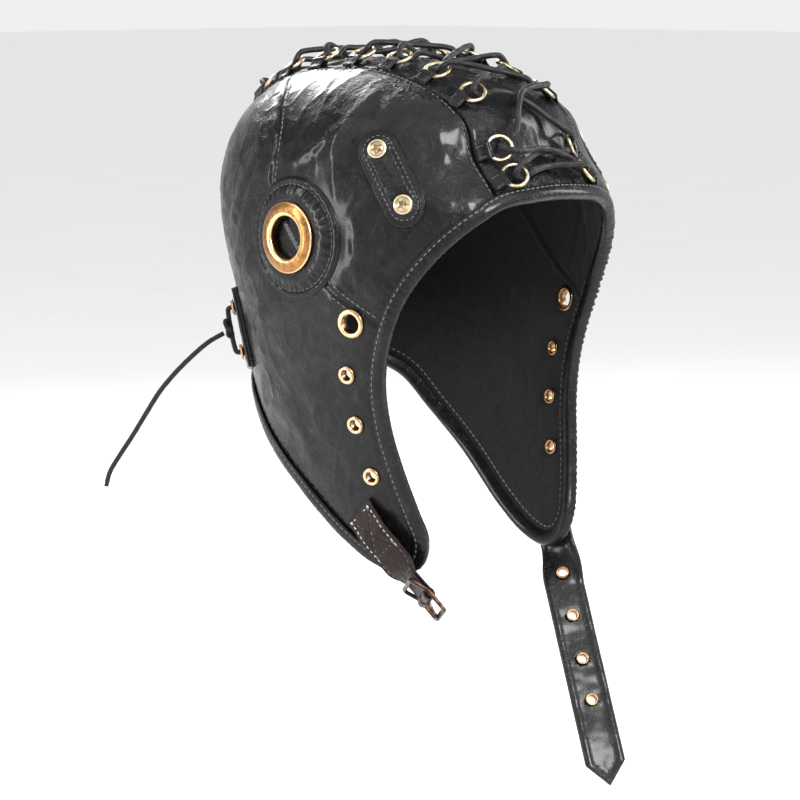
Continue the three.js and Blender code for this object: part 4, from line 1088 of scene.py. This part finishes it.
tied = FACES[-1]["rear"]
over = CLEAR + 0.3 + REAR["thick"] + 1.9 + CLEAR + 1.35
reach = REAR["apart"] / 2
loop = [(0, reach, 1.4), (0, reach - 0.2, over - 0.3), (0, reach - 3.5, over + 0.5), (0, 0, over + 0.7),
        (0, -reach + 3.5, over + 0.5), (0, -reach + 0.2, over - 0.3), (0, -reach, 1.4)]
knot = Bag()
points, faces = tube(catmull([at(tied, *p) for p in loop], 8), 1.35, 12)
knot.add(points, faces)
heart = at(tied, 0, 0, over + 1.2)
t = np.linspace(0, 2 * math.pi, 60, endpoint=False)
trefoil = np.stack([np.sin(t) + 2 * np.sin(2 * t), np.cos(t) - 2 * np.cos(2 * t), -np.sin(3 * t)], 1)
trefoil = trefoil * [0.82, 0.95, 1.0]
swirl = at({**tied, "o": heart}, trefoil[:, 0], trefoil[:, 1], trefoil[:, 2] + 0.3)
points, faces = tube(np.vstack([swirl, swirl[:2]]), 1.3, 10)
knot.add(points, faces)
lobe = catmull([(0.5, 0.8, 0.6), (2.4, 2.6, 1.4), (3.6, 4.6, 1.6), (2.6, 5.6, 1.2), (1.2, 4.2, 0.8), (0.4, 1.6, 0.2)], 6)
points, faces = tube(at({**tied, "o": heart}, lobe[:, 0], lobe[:, 1], lobe[:, 2]), 1.2, 10)
knot.add(points, faces)
made = knot.make("knot")
made.data.uv_layers.new(name="along")
dress(made, CORD, "cord_black", "tie_knot")

TAIL = {
    "x": [-2.75, -9, -17.2, -23.2, -29.7, -35.9, -42.3, -48.2, -52.5, -54.6],
    "y": [2, 7.4, 14, 18.5, 23.2, 27.3, 31.3, 35.2, 38, 38.7],
    "z": [-1.25, -6, -15, -22.5, -32, -43.5, -55.5, -66, -74.5, -82],
}
tail = heart + catmull(np.stack([TAIL["x"], TAIL["y"], TAIL["z"]], 1), 6)
points, faces = tube(tail, np.where(np.arange(len(tail)) > len(tail) - 3, 1.2, 1.35), 12)
tail_cord = make("tail_cord", points, faces)
tail_length = float(np.linalg.norm(np.diff(tail, axis=0), axis=1).sum())
along_uv(tail_cord, len(tail), 12, tail_length, 1.35)
dress(tail_cord, CORD, "cord_black", "tie_cord")


# Chin straps and buckle

def strap_line(side, strap):
    down = unit(np.array(strap["down"]))
    root = side_point(side, strap["root_y"], STRAP["root_z"])
    n = normal(root)
    across = unit(np.cross(down, n))
    out = unit(np.cross(across, down))

    def line(s):
        s = np.asarray(s, float)
        turn = math.radians(strap["twist"]) * smooth(s, strap["start"], strap["end"])[..., None]
        o = root + down * s[..., None] + out * (CLEAR + 0.3 + 2.1 * smooth(s, 4, 17))[..., None]
        a = across * np.cos(turn) + np.cross(down, across) * np.sin(turn)
        m = out * np.cos(turn) + np.cross(down, out) * np.sin(turn)
        return o, a, np.broadcast_to(down, o.shape), m

    return line


def on_strap(line, s, a, n):
    s, a, n = np.broadcast_arrays(np.asarray(s, float), a, n)
    o, across, _, out = line(s)
    return o + across * a[..., None] + out * n[..., None]


STRAP_DEPTH = 2.1
EDGE_STEPS = np.array([0, 0.2, 0.55, 1.1, 1.8, 2.4, 3.0, 3.8, 5.0, 6.6, 8.4, 10.0])
ACROSS = np.concatenate([EDGE_STEPS - 11, [0], (11 - EDGE_STEPS)[::-1]])


def strap_face(a, s, width, seed, pitch=3.2):
    """Height of a strap's upper face over its core."""
    e = np.maximum(0, width - np.abs(a))
    h = -0.6 * (1 - smooth(e, -0.05, 0.8)) - 0.38 * np.exp(-(((e - 2.4) / 0.55) ** 2)) + 0.25 * smooth(e, 2.8, 5.5)
    h = h + 0.16 * np.sin(s * 2 * math.pi / pitch) * np.exp(-(((e - 3.4) / 1.0) ** 2))
    spots = np.stack([a, s, 0 * a + seed], -1)
    return h + (0.3 * rough_noise(spots, 16.0) + 0.14 * rough_noise(spots, 5.0)) * smooth(e, 0.5, 3)


def thicken(made, line):
    """Gives a strap's outer face its thickness, towards the leather."""
    up = sum((p.normal * p.area for p in made.data.polygons), Vector())
    thick = made.modifiers.new("thickness", "SOLIDIFY")
    thick.thickness = STRAP_DEPTH * MM
    thick.offset = -1 if up.dot(Vector(line(np.array(0.0))[3])) > 0 else 1


def long_strap():
    line = strap_line(1, LONG)
    s = np.concatenate([[0, 0.3, 0.8], np.arange(1.6, LONG["length"] + 0.5, 1.4)])
    a, s = np.meshgrid(ACROSS, s, indexing="xy")
    limit = np.where(s > LONG["length"] - LONG["tip"], 11 - 10.4 * (s - LONG["length"] + LONG["tip"]) / LONG["tip"], 11)
    h = strap_face(a, s, np.minimum(limit, s * 3 + 0.01), 5.0)
    bend = 0.7 * rough_noise(np.stack([0 * s, s, 0 * s + 8], -1), 34.0) * smooth(s, 30, 70)
    points = on_strap(line, s, a, STRAP["thick"] + h + bend).reshape(-1, 3)
    inside = (limit - np.abs(a) + 1e-4).ravel()
    fields = np.column_stack([inside, a.ravel(), s.ravel()])
    points, fields, faces = clip(points, fields, grid(*a.shape), 0)
    for hole in LONG["holes"]:
        ring = np.hypot(fields[:, 1], fields[:, 2] - hole) - 3.1
        points, fields, faces = clip(points, np.column_stack([fields[:, :3], ring]), faces, 3)
    made = make("chin_strap_long", points, faces)
    thicken(made, line)
    dress(made, STRAP_LOOK, "leather_strap", "strap_long")
    bag, level = Bag(), []
    for hole in LONG["holes"]:
        o, across, down, out = line(np.array(float(hole)))
        eyelet(bag, level, {"o": o + out * STRAP["thick"], "a": across, "b": down, "n": out}, 2.3, 4.2, 2.2)
    rings = with_wear_and_highlight(bag.make("strap_eyelets"), level)
    dress(rings, COPPER, "brass_antique", *[f"strap_eyelet_{k}" for k in (1, 2, 3, 4)])
    for sign in (-1, 1):
        near_tip = [LONG["length"] - 10.5, LONG["length"] - 3]
        run = np.concatenate([np.arange(3, LONG["length"] - LONG["tip"], 2.0), near_tip])
        off = np.concatenate([np.full(len(run) - 2, 8.6), [8.2, 1.2]])
        stitches(seams, on_strap(line, run, sign * off, 2.05), line(run)[3], 3.3, 2.2, 0.3)


def short_strap():
    line = strap_line(-1, SHORT)
    s = np.concatenate([[0, 0.3, 0.8], np.arange(1.6, 54.5, 1.2)])
    a, s = np.meshgrid(ACROSS, s, indexing="xy")
    h = strap_face(a, s, np.minimum(11, s * 3 + 0.01), 15.0)
    for b, m in (((-8.6, 2.6), (8.6, 25)), ((8.6, 2.6), (-8.6, 25)), ((-9, 25), (9, 25)), ((-10, 41), (10, 41))):
        da, ds = m[0] - b[0], m[1] - b[1]
        t = np.clip(((a - b[0]) * da + (s - b[1]) * ds) / (da**2 + ds**2), 0, 1)
        gap = np.hypot(a - b[0] - t * da, s - b[1] - t * ds)
        h = h - 0.5 * np.exp(-((gap / 0.8) ** 2))
    top = on_strap(line, s, a, STRAP["thick"] + h).reshape(-1, 3)
    made = make("chin_strap_short", top, grid(*a.shape))
    thicken(made, line)
    dress(made, BROWN, "leather_brown", "strap_short")
    o, across, down, out = line(np.array(SHORT["fold"]))
    hinge = {"o": o + out * STRAP["thick"] / 2, "a": down, "b": across, "n": out}
    bands = Bag()
    fold = [(-5.6, 0.35), (-3.4, 0.6), (-1.5, 1.9), (0, 2.45), (1.7, 1.8), (2.5, 0), (1.7, -1.8), (0, -2.45),
            (-2, -2.1), (-5, -1.9), (-10, -1.8), (-17.5, -1.75)]
    for sign in (-1, 1):
        ribbon({**hinge, "o": hinge["o"] + across * sign * 6.6}, fold, 8.7, 1.5, bands)
    ribbon(hinge, [(-5.2, -1.85), (-9, -1.85), (-13, -1.8), (-17.6, -1.75)], 21.4, 1.5, bands)
    loop = outward(bands.make("chin_strap_loop"))
    dress(loop, BROWN, "leather_brown")
    pale = Bag()
    for sign in (-1, 1):
        run = np.arange(2.4, 27, 1.5)
        stitches(pale, on_strap(line, run, sign * 8.6, 2.0), line(run)[3], 3.0, 1.9, 0.36)
        run = np.arange(27.5, 54, 1.5)
        stitches(seams, on_strap(line, run, sign * 8.6, 2.0), line(run)[3], 3.2, 2.1, 0.3)
        run = np.linspace(3.4, 24.2, 12)
        stitches(seams, on_strap(line, run, sign * np.linspace(-7.6, 7.6, 12), 2.0), line(run)[3], 3.2, 2.1, 0.3)
    for at_s, bag in ((2.4, pale), (25.0, seams), (41.0, seams)):
        wide = np.linspace(-8.2, 8.2, 12)
        stitches(bag, on_strap(line, at_s, wide, 2.0), line(np.full(12, at_s))[3], 3.0, 2.0, 0.33)
    dress(pale.make("root_stitches"), WHITE, None)
    return {"o": hinge["o"], "a": across, "b": down, "n": out}


def buckle(h):
    corners = [(12.9, 9.2), (12.9, 4), (12.9, -1.5), (12.9, -6), (12.9, -9.4)]
    lift = [0.05, 0.05, 0.1, 1.6, 2.85]
    side_path = [(a, b, n) for (a, b), n in zip(corners, lift)]
    bend_in = [(12.3, -10.7, 3.15), (11.0, -11.2, 3.2)]
    inner_bar = [(5, -11.2, 3.2), (-5, -11.2, 3.2)]
    bend_out = [(-11.0, 11.1, 0.05), (11.0, 11.1, 0.05)]
    mirrored = [(-a, b, n) for a, b, n in side_path[::-1]]
    loop = side_path + bend_in + inner_bar + [(-a, b, n) for a, b, n in bend_in[::-1]] + mirrored
    loop += [(-12.3, 10.6, 0.05), bend_out[0], (-5, 11.2, 0.05), (5, 11.2, 0.05), bend_out[1], (12.3, 10.6, 0.05)]
    path = catmull(loop, 8, closed=True)
    t = unit(np.roll(path, -1, 0) - np.roll(path, 1, 0))
    up = np.array([0, 0.0, 1.0])
    x = unit(np.cross(t, up))
    y = np.cross(x, t)
    turn = np.arange(16) / 16 * 2 * math.pi
    c, w = np.cos(turn), np.sin(turn)
    flat = np.sign(c) * np.abs(c) ** 0.55 * 1.12, np.sign(w) * np.abs(w) ** 0.55 * 1.05
    wide = np.where(path[:, 1] > 9.5, 1.25, 1.0)[:, None, None]
    ring = path[:, None] + x[:, None] * flat[0][None, :, None] * wide + y[:, None] * flat[1][None, :, None]
    bag = Bag()
    bag.add(at(h, ring[..., 0], ring[..., 1], ring[..., 2]), grid(len(path), 16, True, True))
    pin = np.stack([np.linspace(-12.9, 12.9, 8), np.zeros(8), np.zeros(8)], 1)
    points, faces = tube(at(h, pin[:, 0], pin[:, 1], pin[:, 2]), 1.2, 20)
    bag.add(points, faces)
    made = outward(bag.make("buckle"))
    with_wear_and_highlight(made, 0.6 * rough_noise(np.array([v.co for v in made.data.vertices]) / MM, 3.5) + 0.15)
    dress(made, DARK, "brass_antique", "buckle_frame", body="buckle_frame")
    bag = Bag()
    across = {"o": h["o"] - h["a"] * 1.4, "a": h["b"], "b": h["n"], "n": h["a"]}
    points, faces = lathe(across, [(1.6, 0), (2.3, -0.05), (2.8, 0.4), (2.8, 2.4), (2.3, 2.85), (1.6, 2.8)], 32)
    bag.add(points, faces)
    spine = catmull([(0, 2.2, 0.7), (0, 4.4, 1.35), (0, 7.2, 2.0), (0, 9.6, 2.2), (0, 12.3, 2.15)], 6)
    points, faces = tube(at(h, spine[:, 0], spine[:, 1], spine[:, 2]), np.linspace(1.35, 0.95, len(spine)), 14)
    bag.add(points, faces)
    made = outward(bag.make("tongue"))
    with_wear_and_highlight(made, 0.5 * rough_noise(np.array([v.co for v in made.data.vertices]) / MM, 3.0) + 0.2)
    dress(made, DARK, "brass_antique", "buckle_tongue", body="buckle_tongue")


long_strap()
buckle(short_strap())


# Remaining rows of stitches

def plane_line(x, step=2.0):
    a = np.radians(np.linspace(196, -58, 500))
    way = np.stack([0 * a, np.cos(a), np.sin(a)], 1)
    line = resample(drape(np.array([x, 0, WIDEST_Z]) + 0 * way, way, 0, 150), step)
    return line[from_hem(line) > 8.5]


for side in (-1, 1):
    line = plane_line(side * (SEAM_X + 2.6))
    stitches(seams, line + normal(line) * 0.35, normal(line), 3.3, 2.3, 0.3)
    along = unit(np.gradient(seam_line, axis=0))
    for off in (2.6, -2.6):
        moved = seam_line + np.stack([along[:, 1], -along[:, 0]], 1) * off
        line = np.array([side_point(side, y, z) for y, z in moved])
        keep = (np.abs(line[:, 0]) > SEAM_X + 4) & (from_hem(line) > 9) & (from_patches(line, side) > 1)
        keep &= (off > 0) | (line[:, 2] < -90)
        runs = np.split(np.arange(len(line)), np.where(np.diff(keep.astype(int)) != 0)[0] + 1)
        for run in runs:
            if keep[run[0]] and len(run) > 8:
                stitches(seams, line[run] + normal(line[run]) * 0.35, normal(line[run]), 3.2, 2.2, 0.3)
inner = over_hem(8.0, -WALL - 0.05)
flap = hem[:, 2] < -120
start = np.where(flap & ~np.roll(flap, 1))[0]
for k in start:
    order = (np.arange(len(hem)) + k) % len(hem)
    run = order[:np.argmin(flap[order])]
    stitches(seams, inner[run], -hem_n[run], 3.3, 2.3, 0.33)
dress(seams.make("stitches"), THREAD, None)


# Floor, light and camera

def area(name, place, target, wide, tall, power, colour=(1, 1, 1)):
    light = bpy.data.lights.new(name, "AREA")
    light.shape = "RECTANGLE"
    light.size, light.size_y, light.energy, light.color = wide, tall, power, colour
    obj = bpy.data.objects.new(name, light)
    bpy.context.scene.collection.objects.link(obj)
    obj.location = place
    obj.rotation_euler = (Vector(target) - Vector(place)).to_track_quat("-Z", "Y").to_euler()


bpy.ops.mesh.primitive_plane_add(size=40, location=(0, 0, -0.46))
ground = bpy.context.object
ground.name = "floor"
pale = Shader("pale_floor", Roughness=0.9, Specular_IOR_Level=0.1)
pale.feed(pale.bsdf.inputs["Base Color"], pale.mix(pale.noise(6, 3), (0.80, 0.80, 0.80), (0.84, 0.84, 0.83)))
ground.data.materials.append(pale.material)

world = bpy.data.worlds.new("studio")
bpy.context.scene.world = world
world.use_nodes = True
sky = world.node_tree
split = sky.nodes.new("ShaderNodeSeparateXYZ")
ramp = sky.nodes.new("ShaderNodeValToRGB")
sky.links.new(sky.nodes.new("ShaderNodeTexCoord").outputs["Generated"], split.inputs[0])
sky.links.new(split.outputs["Z"], ramp.inputs[0])
sky.links.new(ramp.outputs[0], sky.nodes["Background"].inputs[0])
ramp.color_ramp.elements[0].position, ramp.color_ramp.elements[0].color = 0.12, (0.86, 0.87, 0.88, 1)
ramp.color_ramp.elements[1].position, ramp.color_ramp.elements[1].color = 0.45, (0.16, 0.165, 0.17, 1)
bpy.context.scene.view_settings.view_transform = "Standard"

HEAD = (0, 0, -0.12)
area("key", (-0.35, -1.55, 0.75), HEAD, 0.55, 0.55, 40)
area("right", (1.3, -0.8, 0.6), HEAD, 0.4, 1.0, 22)
area("left", (-1.35, 0.75, 0.3), HEAD, 0.25, 1.5, 22)
area("back", (0.6, 1.3, 0.8), HEAD, 0.6, 0.6, 22)
sun = bpy.data.lights.new("sky", "SUN")
sun.energy, sun.angle = 2.6, 1.6
obj = bpy.data.objects.new("sky", sun)
bpy.context.scene.collection.objects.link(obj)
obj.rotation_euler = (0.35, -0.3, 0)

camera = bpy.data.objects.new("camera", bpy.data.cameras.new("camera"))
bpy.context.scene.collection.objects.link(camera)
bpy.context.scene.camera = camera
camera.data.sensor_width = 36
camera.data.sensor_fit = "AUTO"
camera.data.lens = FOCAL * 36 / 800
camera.location = Vector((AIM + BACK * DISTANCE) * MM)
camera.rotation_mode = "QUATERNION"
camera.rotation_quaternion = Vector(-BACK).to_track_quat("-Z", "Y")
camera.data.clip_start, camera.data.clip_end = 0.05, 60
